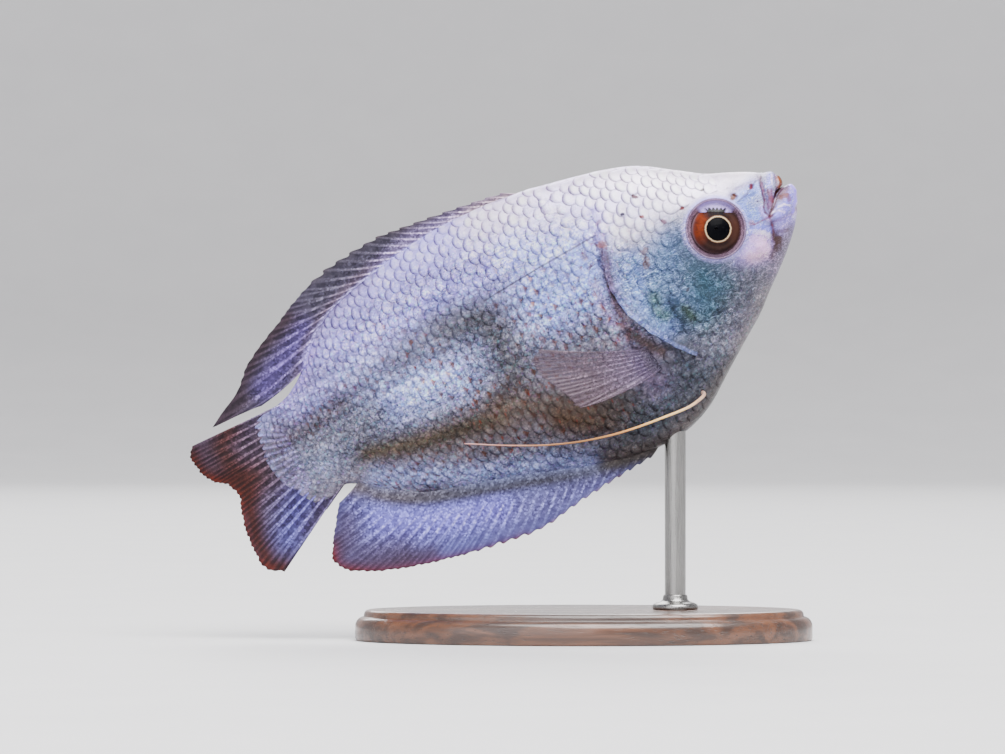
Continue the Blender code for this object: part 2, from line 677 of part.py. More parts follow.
def pectoral_fin(side, name):
    """Clear fan behind the gill opening, leaving the flank on a short stub and spreading aft."""
    start, end = np.array(PECTORAL_ROOT)
    share, on_ray = ray_columns(PECTORAL_RAYS)
    sheet = fin_sheet(lambda t: start + (end - start) * t[:, None], PECTORAL_EDGE, PECTORAL_RAYS, -0.02)
    seat = flank(start[0] + 0 * share, start[1] + (end[1] - start[1]) * share)
    out = PECTORAL_STUB * (1 - np.exp(-FIN_ROWS / 0.05)) + PECTORAL_SPREAD * FIN_ROWS
    y = seat[:, None] + GAP + 0.2 + out[None, :]
    return fin_solid(name, with_side(sheet, y), on_ray, 0.7, "clear", side)


def pelvic_fin(side, name):
    """One long feeler from the breast, trailing back along the flank."""
    path = np.array(PELVIC_PATH)
    path[:, 2] += flank(path[:, 0], path[:, 1])
    seat, normal = out_of(*PELVIC_ROOT)
    curve = along([seat + GAP * normal, seat + (GAP + PELVIC_STUB) * normal, *path])
    share = np.linspace(0, 1, TUBE_RINGS) ** 1.15
    centre = curve(share)
    ahead = np.gradient(centre, axis=0)
    ahead /= np.linalg.norm(ahead, axis=1, keepdims=True)
    first = np.cross(ahead, [0.0, 1.0, 0.0])
    first /= np.linalg.norm(first, axis=1, keepdims=True)
    second = np.cross(ahead, first)
    radius = PELVIC_RADIUS + (PELVIC_TIP - PELVIC_RADIUS) * share + PELVIC_SWELL * np.exp(-share / 0.04)
    turn = np.linspace(0, 2 * math.pi, TUBE_SIDES, endpoint=False)
    ring = np.cos(turn)[None, :, None] * first[:, None] + np.sin(turn)[None, :, None] * second[:, None]
    points = centre[:, None] + radius[:, None, None] * ring
    faces = tube_faces(TUBE_RINGS, TUBE_SIDES)
    faces.append(tuple(range(TUBE_SIDES))[::-1])
    last = (TUBE_RINGS - 1) * TUBE_SIDES
    faces.append(tuple(last + j for j in range(TUBE_SIDES)))
    return solid(name, place(points, side).reshape(-1, 3), faces, "thread")


def stand_base():
    """Low oval plate with a bevelled top edge."""
    turn = np.linspace(0, 2 * math.pi, BASE_SIDES, endpoint=False)
    rims = [(0.0, 0.0), (0.0, BASE_THICK - BASE_BEVEL), (BASE_BEVEL, BASE_THICK)]
    points = np.concatenate([
        np.stack([(BASE_LENGTH / 2 - inset) * np.cos(turn), (BASE_WIDTH / 2 - inset) * np.sin(turn),
                  np.full(BASE_SIDES, z)], axis=-1)
        for inset, z in rims
    ])
    faces = tube_faces(len(rims), BASE_SIDES)
    faces.append(tuple(range(BASE_SIDES))[::-1])
    faces.append(tuple((len(rims) - 1) * BASE_SIDES + j for j in range(BASE_SIDES)))
    return solid("stand_base", points * MM, faces, "base")


def belly_cutter():
    """The trunk over the rod, grown by the gap, which shapes the rod's top."""
    s = np.linspace(ROD_AT - 5, ROD_AT + 5, 11)
    angle = ring_angles(25)
    middle = widest_at(s)[:, None]
    down = (middle[:, 0] - belly(s))[:, None] + GAP
    h = middle + np.where(angle > 0, 4.0, down) * np.sin(angle)
    y = (half_width(s)[:, None] + GAP) * np.cos(angle) ** (2 * edge_power(s)[:, None])
    y[:, 0] = y[:, -1] = 0.0
    grid = np.stack([np.broadcast_to(s[:, None], h.shape), h, y], axis=-1)
    return helper(body_piece("belly_cutter", grid, "skin"))


def stand_rod():
    """Upright rod from the base to the belly, its top shaped to the belly's curve."""
    foot = place(np.array([ROD_AT, float(belly(ROD_AT)), 0.0]))
    turn = np.linspace(0, 2 * math.pi, ROD_SIDES, endpoint=False)
    low, high = (BASE_THICK + GAP) * MM, foot[2] + 3 * MM
    points = np.concatenate([
        np.stack([foot[0] + ROD_RADIUS * MM * np.cos(turn), ROD_RADIUS * MM * np.sin(turn),
                  np.full(ROD_SIDES, z)], axis=-1)
        for z in (low, high)
    ])
    faces = tube_faces(2, ROD_SIDES)
    faces.append(tuple(range(ROD_SIDES))[::-1])
    faces.append(tuple(ROD_SIDES + j for j in range(ROD_SIDES)))
    made = solid("stand_rod", points, faces, "rod")
    cut(made, belly_cutter())
    return made


def build():
    for old in list(bpy.data.objects):
        bpy.data.objects.remove(old)
    head()
    torso()
    tail_stalk()
    dorsal_fin()
    anal_fin()
    caudal_fin()
    for side, word in ((-1.0, "right"), (1.0, "left")):
        gill_cover(side, f"gill_cover_{word}")
        eyeball(f"eye_{word}", side, 0.0, "eye")
        pectoral_fin(side, f"pectoral_fin_{word}")
        pelvic_fin(side, f"pelvic_fin_{word}")
    stand_base()
    stand_rod()


build()
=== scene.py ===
import math

import bpy
import numpy as np
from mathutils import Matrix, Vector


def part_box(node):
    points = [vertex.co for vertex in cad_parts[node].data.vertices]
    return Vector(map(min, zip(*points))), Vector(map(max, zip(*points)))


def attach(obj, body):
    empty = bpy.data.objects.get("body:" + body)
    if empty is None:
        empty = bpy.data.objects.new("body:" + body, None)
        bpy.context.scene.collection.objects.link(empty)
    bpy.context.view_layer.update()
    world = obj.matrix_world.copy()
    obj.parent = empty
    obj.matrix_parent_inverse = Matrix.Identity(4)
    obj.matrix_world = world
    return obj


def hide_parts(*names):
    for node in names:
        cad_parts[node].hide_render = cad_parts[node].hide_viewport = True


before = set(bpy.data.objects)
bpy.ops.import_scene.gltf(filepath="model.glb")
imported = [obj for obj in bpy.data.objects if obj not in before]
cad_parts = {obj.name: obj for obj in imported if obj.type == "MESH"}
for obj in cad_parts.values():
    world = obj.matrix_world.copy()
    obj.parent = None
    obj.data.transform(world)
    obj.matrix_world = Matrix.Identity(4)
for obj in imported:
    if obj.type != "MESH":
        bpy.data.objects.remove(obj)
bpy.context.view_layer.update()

# Stand base: a low oval plate of dark stained wood, varnished, with a moulded top edge.
# It is turned from one board whose grain runs along its length, and stands flat on the floor.
MM = 0.001
BASE_AROUND = 180
BASE_EDGE = (
    (0.35, 0), (0.08, 0.08), (0, 0.3), (0, 1.5), (0.05, 1.9), (0.2, 2.25), (0.45, 2.52), (0.75, 2.66),
    (0.95, 2.7), (1, 2.78), (1.02, 3), (1.1, 3.22), (1.28, 3.4), (1.55, 3.48), (1.9, 3.5),
)
BASE_TOP_SHARES = (0.93, 0.8, 0.6, 0.4, 0.2, 0.08)
WOOD_DARK = (52, 33, 24)
WOOD_LIGHT = (98, 62, 42)
WOOD_RELIEF = 0.00004
BRIGHTEST = 0.9


def tint(red, green, blue):
    """A colour given as a picture shows it, 0 to 255, turned to linear light."""
    share = np.array([red, green, blue], float) / 255
    return np.where(share <= 0.04045, share / 12.92, ((share + 0.055) / 1.055) ** 2.4)


def paint(colour):
    """The four numbers a colour socket takes."""
    return (*tint(*colour), 1.0)


def full_turn(count):
    """Even angles once round."""
    return np.linspace(0, 2 * math.pi, count, endpoint=False)


def ring_quads(rings, around, closed=True):
    """Quads between neighbouring rings: point j of ring i joins point j + 1 of ring i + 1."""
    across = around if closed else around - 1
    i = np.arange(rings - 1)[:, None] * around
    j = np.arange(across)[None]
    k = (j + 1) % around
    return np.stack([i + j, i + k, i + around + k, i + around + j], axis=-1).reshape(-1, 4)


def end_caps(rings, around, way=1):
    """The first and the last ring as faces that look away from each other. With way -1 both turn over."""
    first = list(range(around))
    last = [(rings - 1) * around + j for j in first]
    return [first[::-way], last[::way]]


def outward(points, faces):
    """The faces, turned over if the solid that they close measures less than nothing."""
    corner = [points[faces[:, n]] for n in range(4)]
    first = np.einsum("ij,ij->i", corner[0], np.cross(corner[1], corner[2]))
    second = np.einsum("ij,ij->i", corner[0], np.cross(corner[2], corner[3]))
    return faces[:, ::-1] if (first + second).sum() < 0 else faces


def piece(name, points, faces, finish, nodes=(), layers=None, sharp=None):
    """A smooth mesh from points in metres, which rides on the stand and may stand for CAD nodes."""
    mesh = bpy.data.meshes.new(name)
    mesh.from_pydata(points.reshape(-1, 3).tolist(), [], faces)
    mesh.materials.append(finish)
    mesh.shade_smooth()
    if sharp:
        mesh.set_sharp_from_angle(angle=math.radians(sharp))
    for word, values in (layers or {}).items():
        layer = mesh.attributes.new(word, "FLOAT_VECTOR", "POINT")
        layer.data.foreach_set("vector", np.asarray(values, np.float32).ravel())
    made = bpy.data.objects.new(name, mesh)
    bpy.context.collection.objects.link(made)
    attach(made, "root")
    if nodes:
        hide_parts(*nodes)
    return made


def node(tree, kind, settings=None, **inputs):
    """Adds a shader node. An input is named by its label, or by _ and its number."""
    made = tree.nodes.new("ShaderNode" + kind)
    for word, value in (settings or {}).items():
        setattr(made, word, value)
    for word, value in inputs.items():
        socket = made.inputs[int(word[1:])] if word[1:].isdigit() else made.inputs[word.replace("_", " ")]
        if isinstance(value, bpy.types.NodeSocket):
            tree.links.new(value, socket)
        else:
            socket.default_value = value
    return made


def maths(tree, operation, first, second=0.0, third=0.0):
    """One Math node's value."""
    return node(tree, "Math", {"operation": operation}, _0=first, _1=second, _2=third).outputs[0]


def times(tree, first, second):
    """The product of two numbers."""
    return maths(tree, "MULTIPLY", first, second)


def blended(tree, share, first, second):
    """One Mix node's colour: first where share is 0, second where it is 1."""
    return node(tree, "Mix", {"data_type": "RGBA"}, _0=share, _6=first, _7=second).outputs[2]


def stained(tree, colour, gain):
    """A colour times gain, channel by channel, held below BRIGHTEST."""
    made = node(tree, "VectorMath", {"operation": "MULTIPLY"}, _0=colour, _1=gain)
    held = node(tree, "VectorMath", {"operation": "MINIMUM"}, _0=made.outputs[0], _1=(BRIGHTEST,) * 3)
    return held.outputs[0]


def washed(tree, share, colour, gain):
    """A colour that goes over, by share, to itself times gain."""
    return blended(tree, share, colour, stained(tree, colour, gain))


def stepped(tree, value, stops, kind="CONSTANT"):
    """The colour that a ramp of (place, four numbers) gives for a value: held, or blended if LINEAR."""
    made = node(tree, "ValToRGB", Fac=value)
    made.color_ramp.interpolation = kind
    for i, (at, colour) in enumerate(stops):
        stop = made.color_ramp.elements[i] if i < 2 else made.color_ramp.elements.new(at)
        stop.position, stop.color = at, colour
    return made.outputs[0]


def ranged(tree, value, low, high, start=0.0, end=1.0):
    """A value eased from start at low to end at high, and held beyond them."""
    made = node(tree, "MapRange", {"interpolation_type": "SMOOTHSTEP"},
                Value=value, From_Min=low, From_Max=high, To_Min=start, To_Max=end)
    return made.outputs[0]


def effect(name, inputs, outputs):
    """An empty shader group with named sockets, and its input and output nodes."""
    tree = bpy.data.node_groups.new(name, "ShaderNodeTree")
    for word, kind, value in inputs:
        socket = tree.interface.new_socket(word, in_out="INPUT", socket_type="NodeSocket" + kind)
        socket.default_value = value
    for word, kind in outputs:
        tree.interface.new_socket(word, in_out="OUTPUT", socket_type="NodeSocket" + kind)
    return tree, tree.nodes.new("NodeGroupInput"), tree.nodes.new("NodeGroupOutput")


def use(tree, group, **inputs):
    """Places a shader group in a material, with its own values."""
    made = tree.nodes.new("ShaderNodeGroup")
    made.node_tree = group
    for word, value in inputs.items():
        socket = made.inputs[word.replace("_", " ")]
        if isinstance(value, bpy.types.NodeSocket):
            tree.links.new(value, socket)
        else:
            socket.default_value = value
    return made


def finish_of(name, **constants):
    """A material with its Principled shader, whose constant sockets are set here."""
    made = bpy.data.materials.new(name)
    made.use_nodes = True
    shader = made.node_tree.nodes["Principled BSDF"]
    for word, value in constants.items():
        shader.inputs[word.replace("_", " ")].default_value = value
    return made, made.node_tree, shader


def feed(tree, target, **values):
    """Links sockets to a node's inputs by name."""
    for word, value in values.items():
        tree.links.new(value, target.inputs[word.replace("_", " ")])


def noisy(tree, where, scale, detail, distortion=0.0):
    """Noise from 0 to 1, with scale cells a unit."""
    return node(tree, "TexNoise", Vector=where, Scale=scale, Detail=detail, Distortion=distortion).outputs[0]


def layer(tree, word):
    """A vertex layer's vector."""
    return node(tree, "Attribute", {"attribute_name": word}).outputs["Vector"]


def raised(tree, shader, height, distance, strength=1.0):
    """Feeds a height to the shader's normal. distance is the height's full size in metres."""
    made = node(tree, "Bump", Height=height, Distance=distance, Strength=strength)
    feed(tree, shader, Normal=made.outputs[0])


def wood_effect():
    """Grain of stained wood: stretched noise for the bands, finer noise for the pores."""
    tree, given, out = effect(
        "wood grain",
        [("Place", "Vector", (0, 0, 0)), ("Dark", "Color", (0, 0, 0, 1)), ("Light", "Color", (1, 1, 1, 1))],
        [("Color", "Color"), ("Height", "Float"), ("Roughness", "Float")])
    long = node(tree, "Mapping", Vector=given.outputs["Place"], Scale=(60.0, 620.0, 620.0))
    bands = noisy(tree, long.outputs[0], 1.0, 5.0, 0.7)
    fine = node(tree, "Mapping", Vector=given.outputs["Place"], Scale=(240.0, 5200.0, 5200.0))
    pores = noisy(tree, fine.outputs[0], 1.0, 3.0)
    band = ranged(tree, bands, 0.36, 0.66)
    pore = ranged(tree, pores, 0.56, 0.72)
    colour = blended(tree, band, given.outputs["Dark"], given.outputs["Light"])
    colour = blended(tree, times(tree, pore, 0.55), colour, paint((26, 16, 12)))
    feed(tree, out, Color=colour, Height=maths(tree, "SUBTRACT", 1.0, pore),
         Roughness=ranged(tree, bands, 0.3, 0.7, 0.42, 0.3))
    return tree


def varnished_wood():
    """Stained wood under a clear coat, with the grain group's colour, roughness and height."""
    made, tree, shader = finish_of("varnished wood", Coat_Weight=0.55, Coat_Roughness=0.12)
    place_of = node(tree, "TexCoord").outputs["Object"]
    grain = use(tree, wood_effect(), Place=place_of, Dark=paint(WOOD_DARK), Light=paint(WOOD_LIGHT))
    feed(tree, shader, Base_Color=grain.outputs["Color"], Roughness=grain.outputs["Roughness"])
    raised(tree, shader, grain.outputs["Height"], WOOD_RELIEF)
    return made


def stand_base():
    """Rings of an oval: each is the outline less its inset, with sines and cosines round it."""
    low, high = (np.array(corner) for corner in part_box("stand_base"))
    half = (high - low)[:2] / 2
    turn = full_turn(BASE_AROUND)
    circle = np.stack([np.cos(turn), np.sin(turn)], axis=-1)
    edge = np.array(BASE_EDGE) * MM
    rims = half - edge[:, :1]
    rims = np.concatenate([rims[:1] * 0.03, rims, rims[-1] * np.array(BASE_TOP_SHARES)[:, None]])
    level = np.concatenate([edge[:1, 1], edge[:, 1], np.full(len(BASE_TOP_SHARES), edge[-1, 1])])
    heights = np.repeat(level, BASE_AROUND).reshape(len(level), -1, 1)
    points = np.concatenate([rims[:, None] * circle, heights], axis=-1)
    faces = outward(points.reshape(-1, 3), ring_quads(len(rims), BASE_AROUND)).tolist()
    faces += end_caps(len(rims), BASE_AROUND)
    return piece("base_plate", points, faces, varnished_wood(), ["stand_base"], sharp=50)


stand_base()

# Stand rod: a round steel rod, brushed along its length, that rises from the base into the belly.
# It is pressed into a small turned collar on the base, and its top goes a little way into the flesh.
ROD_AROUND = 48
ROD_SINK = 1.2
ROD_BEVEL = 0.1
STEEL_RELIEF = 0.00001
COLLAR = ((1.2, 0.0), (2.5, 0.0), (2.6, 0.12), (2.6, 0.4), (2.48, 0.6), (2.1, 0.78), (1.65, 0.9),
          (1.42, 1.15),
          (1.38, 1.5), (1.3, 1.66), (1.2, 1.7))


def brushed_steel():
    """Fine streaks along Z, from noise squeezed in X and Y."""
    made, tree, shader = finish_of("brushed steel", Metallic=1.0)
    place_of = node(tree, "TexCoord").outputs["Object"]
    along_z = node(tree, "Mapping", Vector=place_of, Scale=(9000.0, 9000.0, 260.0))
    streak = noisy(tree, along_z.outputs[0], 1.0, 2.0)
    colour = blended(tree, streak, paint((112, 112, 111)), paint((160, 159, 156)))
    feed(tree, shader, Base_Color=colour, Roughness=ranged(tree, streak, 0.3, 0.7, 0.22, 0.36))
    raised(tree, shader, streak, STEEL_RELIEF)
    return made


def stand_rod():
    """A profile of (radius, height) turned about the rod's axis."""
    low, high = (np.array(corner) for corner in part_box("stand_rod"))
    middle, floor_of_rod = (low + high) / 2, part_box("stand_base")[1][2]
    rod = (high - low)[0] / 2 / MM
    top = (high[2] - floor_of_rod) / MM + ROD_SINK
    shaft = [(rod, COLLAR[-1][1]), (rod, top * 0.5), (rod, top - ROD_BEVEL), (rod - ROD_BEVEL, top)]
    profile = np.array([(0.02, 0.0), *COLLAR[1:-1], *shaft, (0.02, top)])
    turn = full_turn(ROD_AROUND)
    radius = profile[:, :1] * MM
    points = np.stack([middle[0] + radius * np.cos(turn), middle[1] + radius * np.sin(turn),
                       floor_of_rod + np.repeat(profile[:, 1:], ROD_AROUND, axis=1) * MM], axis=-1)
    faces = outward(points.reshape(-1, 3), ring_quads(len(profile), ROD_AROUND)).tolist()
    faces += end_caps(len(profile), ROD_AROUND)
    return piece("rod_and_collar", points, faces, brushed_steel(), ["stand_rod"], sharp=40)


stand_rod()

# Body skin: one unbroken skin over head, trunk and tail stalk, thin and moist, silvery under the scales.
# It is drawn in the fish's side view, in millimetres: s aft of the lower jaw's tip, h up, y out.
PITCH = math.radians(28.0)
TAIL_SWING = 1.6
SWING_FROM = 38.0
SWING_TO = 75.0
JAW_AHEAD = 24.0
JAW_HEIGHT = 51.5
BACK = (
    (6.5, 5.3), (8, 6.05), (10, 7.4), (12, 8.85), (14, 10.25), (16, 11.25), (20, 12.5),
    (24, 13.45), (28, 14.3), (33, 14.9), (38, 15.1), (43, 14.75), (48, 14), (53, 12.7),
    (56, 11.2), (58, 9.4), (60, 7.5), (62, 6.3), (64.5, 5.6),
)
BELLY = (
    (6.5, -7.9), (8, -9.15), (10, -10.85), (13, -12.8), (17, -15.45), (20, -17.45), (22, -18.3),
    (25, -18.95), (27, -19), (30, -18.6), (34, -17.6), (38, -16.3), (42, -14.9),
    (46, -13.7), (50, -12.55), (54, -11.1), (56, -9.9), (58, -8.1), (60, -6.4), (62, -5.6),
    (64.5, -5.2),
)
HALF_WIDTH = (
    (0, 1.2), (6.5, 3.05), (10, 4), (14, 4.75), (18, 5.2), (23, 5.35), (29, 5.15),
    (36, 4.55), (43, 3.8), (50, 3), (56, 2.25), (60, 1.6), (64.5, 1),
)
WIDEST_AT = ((6.5, -1.2), (12.0, -1.8), (20.0, -2.5), (30.0, -2.0), (45.0, 0.5), (64.5, 0.4))
EDGE_POWER = ((0.0, 0.54), (26.0, 0.54), (46.0, 0.68), (58.0, 0.66), (64.5, 0.56))
LIP_TOP = (1.2, 0.95)
LIP_LOW = (1.0, 0.66)
MOUTH_CORNER = (4.5, -1.6)
MOUTH_HALF_WIDTH = 2.0
MOUTH_DEPTH = 1.4
GAPE_BOW = 0.45
SNOUT = (LIP_TOP, (1.02, 1.5), (1.2, 2.2), (1.6, 2.7), (2.4, 3.1), (4.0, 4.05), (6.5, 5.3))
CHIN = (LIP_LOW, (0.35, 0.56), (0.08, 0.1), (0.5, -1.5), (1.9, -3.65), (4.0, -5.8), (6.5, -7.9))
LIP_BULGE = 0.22
LIP_SPREAD = 0.5
CHEEK_BULGE = 0.3
EYE_AT = (10.35, 0.0)
ORBIT_RADIUS = 3.5
ORBIT_HEIGHT = 0.2
ORBIT_SPREAD = 0.9
SOCKET_DEPTH = 1.5
GILL_EDGE = (
    (21.3, 9), (22.4, 5.5), (23.4, 2), (23.7, -1), (23.2, -3.8), (22.2, -6.2), (21, -8.7),
    (19.6, -11), (18, -13.2),
)
FLARE = 0.35
FLARE_LENGTH = 3.0
GROOVE_AT = 1.6
GROOVE_DEPTH = 0.22
MUSCLE_AT = -1.6
MUSCLE_HEIGHT = 0.25
BAND_SPREAD = 1.5
CAUDAL_ROOT = ((63.6, 5.65), (64.2, 2.5), (64.0, -0.5), (62.8, -3.2), (61.0, -5.6))
CAUDAL_EDGE = (
    (0, 74.3, 6.15), (0.06, 75.2, 5.2), (0.16, 75.1, 3.6), (0.28, 74.4, 1.7), (0.4, 72.9, 0.3),
    (0.48, 72.4, -1.2), (0.6, 73.1, -3.4), (0.74, 73.7, -6.2), (0.88, 73.8, -9), (0.95, 73.2, -10.5),
    (1.0, 71.7, -11.35),
)
FACE_RINGS = 48
HEAD_RINGS = 90
TRUNK_RINGS = 146
SHEATH_RINGS = 14
SHEATH_LENGTH = 3.6
SHEATH_THICK = 0.2
LINING_RINGS = 7
HALF_POINTS = 137
COAT = 0.12
TABLE_POINTS = 220

# Folds of the head in the side view: height, half width and the line each follows
FOLDS = (
    (0.22, 0.45, ((1.92, 2.44), (2.66, 1.54), (3.2, 0.28), (3.42, -0.63))),
    (-0.32, 0.2, ((3, 3.1), (3.43, 1.44), (3.81, 0.1), (4.15, -1.2))),
    (-0.16, 0.15, ((1.43, 2.3), (1.75, 1.31), (2.44, 0.4), (3.26, -0.32))),
    (0.1, 0.28, ((1.2, 1.9), (1.19, 1.15), (1.66, 0.75))),
    (0.14, 0.24, ((2.76, -0.3), (3.53, -0.95), (4.2, -1.6))),
    (0.2, 0.6, ((0.5, -0.3), (1.4, -1), (2.3, -1.6), (3.25, -2))),
    (-0.16, 0.22, ((0.9, -2.1), (2.4, -2.55), (4.1, -2.35))),
    (0.15, 0.24, ((4.63, -0.24), (4.85, -1.17), (4.47, -1.95), (3.75, -1.95))),
    (-0.1, 0.16, ((7.26, 2.57), (6.08, 2.85), (4.76, 2.92), (3.69, 2.99))),
    (0.1, 0.26, ((6.77, 1.54), (5.85, 1.82), (4.58, 1.79))),
    (-0.22, 0.2, ((4.38, -2.43), (4.67, -3.31), (5.18, -3.94))),
    (-0.22, 0.26, ((4.5, -3.9), (5.2, -4.7), (6.2, -6))),
    (0.12, 0.35, ((7.12, -2.2), (5.9, -2.2), (5.1, -2.9))),
    (0.12, 0.6, ((6.2, -3.2), (6.9, -3.9), (8.6, -4.4))),
    (0.07, 0.12, ((6.2, -1.27), (6.47, -1), (6.74, -1.27), (6.47, -1.54), (6.2, -1.3))),
    (0.1, 0.2, ((6.3, 2.23), (6.85, 2.8), (7.4, 2.23), (6.85, 1.7), (6.3, 2.2))),
    (-0.5, 0.27, ((6.8, 2.23), (6.9, 2.23))),
    (0.08, 0.18, ((4.05, 2.39), (4.49, 2.82), (4.93, 2.39), (4.49, 1.96), (4.05, 2.35))),
    (-0.36, 0.22, ((4.45, 2.42), (4.55, 2.36))),
    (-0.16, 0.13, ((4.69, 0.53), (4.73, 0.53))),
    (-0.12, 0.13, ((9.56, 4.63), (9.6, 4.63))),
    (-0.12, 0.13, ((12.63, 3.85), (12.67, 3.85))),
    (0.14, 0.7, ((14.9, -0.8), (14.7, -5), (12.2, -8.6))),
    (-0.14, 0.45, ((16.1, -0.5), (16, -5.5), (13.4, -9.6))),
    (-0.3, 0.42, ((18.6, -4.6), (18.7, -6.2), (18.3, -8.2))),
    (-0.26, 0.24, ((17.9, -5.7), (17.6, -7), (17.4, -8.6))),
    (-0.24, 0.35, ((19, -11.9), (16, -12.2), (12, -10.6), (8, -7.6))),
    (0.25, 0.8, ((24.6, 1.6), (24.7, -0.6), (24.3, -3.4))),
)


def smooth(knots, values):
    """A curve through values at knots, cubic between them, that never overshoots a knot."""
    knots = np.asarray(knots, float)
    values = np.asarray(values, float).reshape(len(knots), -1)
    step = np.diff(knots)[:, None]
    chord = np.diff(values, axis=0) / step
    slope = np.vstack([chord[:1], np.zeros_like(chord[1:]), chord[-1:]])
    same = chord[:-1] * chord[1:] > 0
    near, far = 2 * step[1:] + step[:-1], step[1:] + 2 * step[:-1]
    first = np.where(same, chord[:-1], 1.0)
    second = np.where(same, chord[1:], 1.0)
    slope[1:-1] = np.where(same, (near + far) / (near / first + far / second), 0.0)

    def at(place):
        """The curve's values at a place."""
        place = np.asarray(place, float)
        flat = np.clip(place.ravel(), knots[0], knots[-1])
        i = np.clip(np.searchsorted(knots, flat) - 1, 0, len(knots) - 2)
        h = step[i]
        t = ((flat - knots[i]) / step[i, 0])[:, None]
        found = (
            (1 + 2 * t) * (1 - t) ** 2 * values[i]
            + t * (1 - t) ** 2 * h * slope[i]
            + t * t * (3 - 2 * t) * values[i + 1]
            + t * t * (t - 1) * h * slope[i + 1]
        )
        return found.reshape(place.shape + (values.shape[1],))

    return at


def along(points):
    """A smooth curve through points, by its share of the length from 0 to 1."""
    points = np.asarray(points, float)
    length = np.concatenate([[0.0], np.cumsum(np.linalg.norm(np.diff(points, axis=0), axis=1))])
    return smooth(length / length[-1], points)


def station(rows):
    """A smooth function of s through (s, value) rows."""
    rows = np.asarray(rows, float)
    curve = smooth(rows[:, 0], rows[:, 1])
    return lambda s: curve(s)[..., 0]


back = station(BACK)
belly = station(BELLY)
half_width = station(HALF_WIDTH)
widest_at = station(WIDEST_AT)
edge_power = station(EDGE_POWER)
gill_edge_at = station(sorted((h, s) for s, h in GILL_EDGE))


def unit(rows):
    """Vectors divided by their lengths."""
    return rows / np.linalg.norm(rows, axis=-1, keepdims=True)


def bump(distance, spread):
    """A rounded hill, 1 at its middle."""
    return np.exp(-((distance / spread) ** 2))


def ramp(value, start, end):
    """0 before start, 1 after end, smooth between."""
    t = np.clip((value - start) / (end - start), 0.0, 1.0)
    return t * t * (3 - 2 * t)


def distance_to(points, s, h, samples=28):
    """Distance in the side view from (s, h) to a smooth line through points."""
    line = along(points)(np.linspace(0, 1, samples))
    start, reach = line[:-1], np.diff(line, axis=0)
    apart = np.full(s.shape, 1e9)
    for (s0, h0), (ds, dh) in zip(start, reach):
        t = np.clip(((s - s0) * ds + (h - h0) * dh) / (ds * ds + dh * dh), 0, 1)
        apart = np.minimum(apart, (s - s0 - t * ds) ** 2 + (h - h0 - t * dh) ** 2)
    return np.sqrt(apart)


def flank(s, h):
    """Half width of the plain body at (s, h): an oval section that closes on back and belly."""
    middle = widest_at(s)
    reach = np.where(h > middle, back(s) - middle, middle - belly(s))
    share = np.clip(np.abs(h - middle) / reach, 0.0, 1.0)
    return half_width(s) * (1 - share**2) ** edge_power(s)


def relief(s, h):
    """What muscle and orbit add to the plain body."""
    rear = ramp(s, 32.0, 42.0) * (1 - ramp(s, 56.0, 62.0))
    groove = -GROOVE_DEPTH * bump(h - GROOVE_AT, BAND_SPREAD)
    muscle = MUSCLE_HEIGHT * bump(h - MUSCLE_AT, BAND_SPREAD)
    from_eye = np.hypot(s - EYE_AT[0], h - EYE_AT[1])
    orbit = ORBIT_HEIGHT * bump(from_eye - ORBIT_RADIUS, ORBIT_SPREAD)
    return rear * (groove + muscle) + orbit


def flare(s, h):
    """How far the head stands out from the trunk: it rises towards the gill edge and drops behind it."""
    ahead = gill_edge_at(h) - s
    rise = (1 - ramp(ahead, 0.0, FLARE_LENGTH)) * ramp(ahead, -0.35, 0.0)
    return FLARE * rise * (1 - ramp(np.abs(h + 2.5), 8.0, 12.0))


def place(points, side=1.0):
    """Side-view points (s, h, y) in the part's frame, in metres. side is 1 for left, -1 for right."""
    s, h, y = np.moveaxis(np.asarray(points, float), -1, 0)
    swing = TAIL_SWING * np.clip((s - SWING_FROM) / (SWING_TO - SWING_FROM), 0.0, None) ** 2
    x = JAW_AHEAD - s * math.cos(PITCH) - h * math.sin(PITCH)
    z = JAW_HEIGHT - s * math.sin(PITCH) + h * math.cos(PITCH)
    return np.stack([x, side * y + swing, z], axis=-1) * MM


def upright_ring(s, count):
    """Side-view points of the upright section at s: heights by the sine of an even turn."""
    angle = np.linspace(math.pi / 2, -math.pi / 2, count)
    middle = float(widest_at(s))
    up, down = float(back(s)) - middle, middle - float(belly(s))
    h = middle + np.where(angle > 0, up, down) * np.sin(angle)
    return np.stack([np.full(count, float(s)), h], axis=-1)


def side_grid(top, bottom, front, rear, u, v):
    """A grid in the side view bounded by four curves, each blended into the next across the middle."""
    u = u[:, None, None]
    v = v[None, :, None]
    corners = (
        (1 - u) * (1 - v) * front[0] + (1 - u) * v * front[-1] + u * (1 - v) * rear[0] + u * v * rear[-1]
    )
    ruled = (1 - v) * top[:, None] + v * bottom[:, None] + (1 - u) * front[None] + u * rear[None]
    return ruled - corners


def lip_ring(count):
    """Half of the lips' inner edge: from the middle of the upper lip to the corner, and back below.

    Aft it goes by the cosine of an even turn, out by its sine, and it bows up by a sine between.
    """
    q = 1 - np.abs(np.linspace(-1, 1, count))
    upper = np.linspace(-1, 1, count) <= 0
    start = np.where(upper[:, None], LIP_TOP, LIP_LOW)
    turn = q * math.pi / 2
    s = start[:, 0] + (MOUTH_CORNER[0] - start[:, 0]) * (1 - np.cos(turn))
    share = (s - start[:, 0]) / (MOUTH_CORNER[0] - start[:, 0])
    h = start[:, 1] + (MOUTH_CORNER[1] - start[:, 1]) * share + GAPE_BOW * np.sin(math.pi * share)
    return np.stack([s, h, MOUTH_HALF_WIDTH * np.sin(turn)], axis=-1)


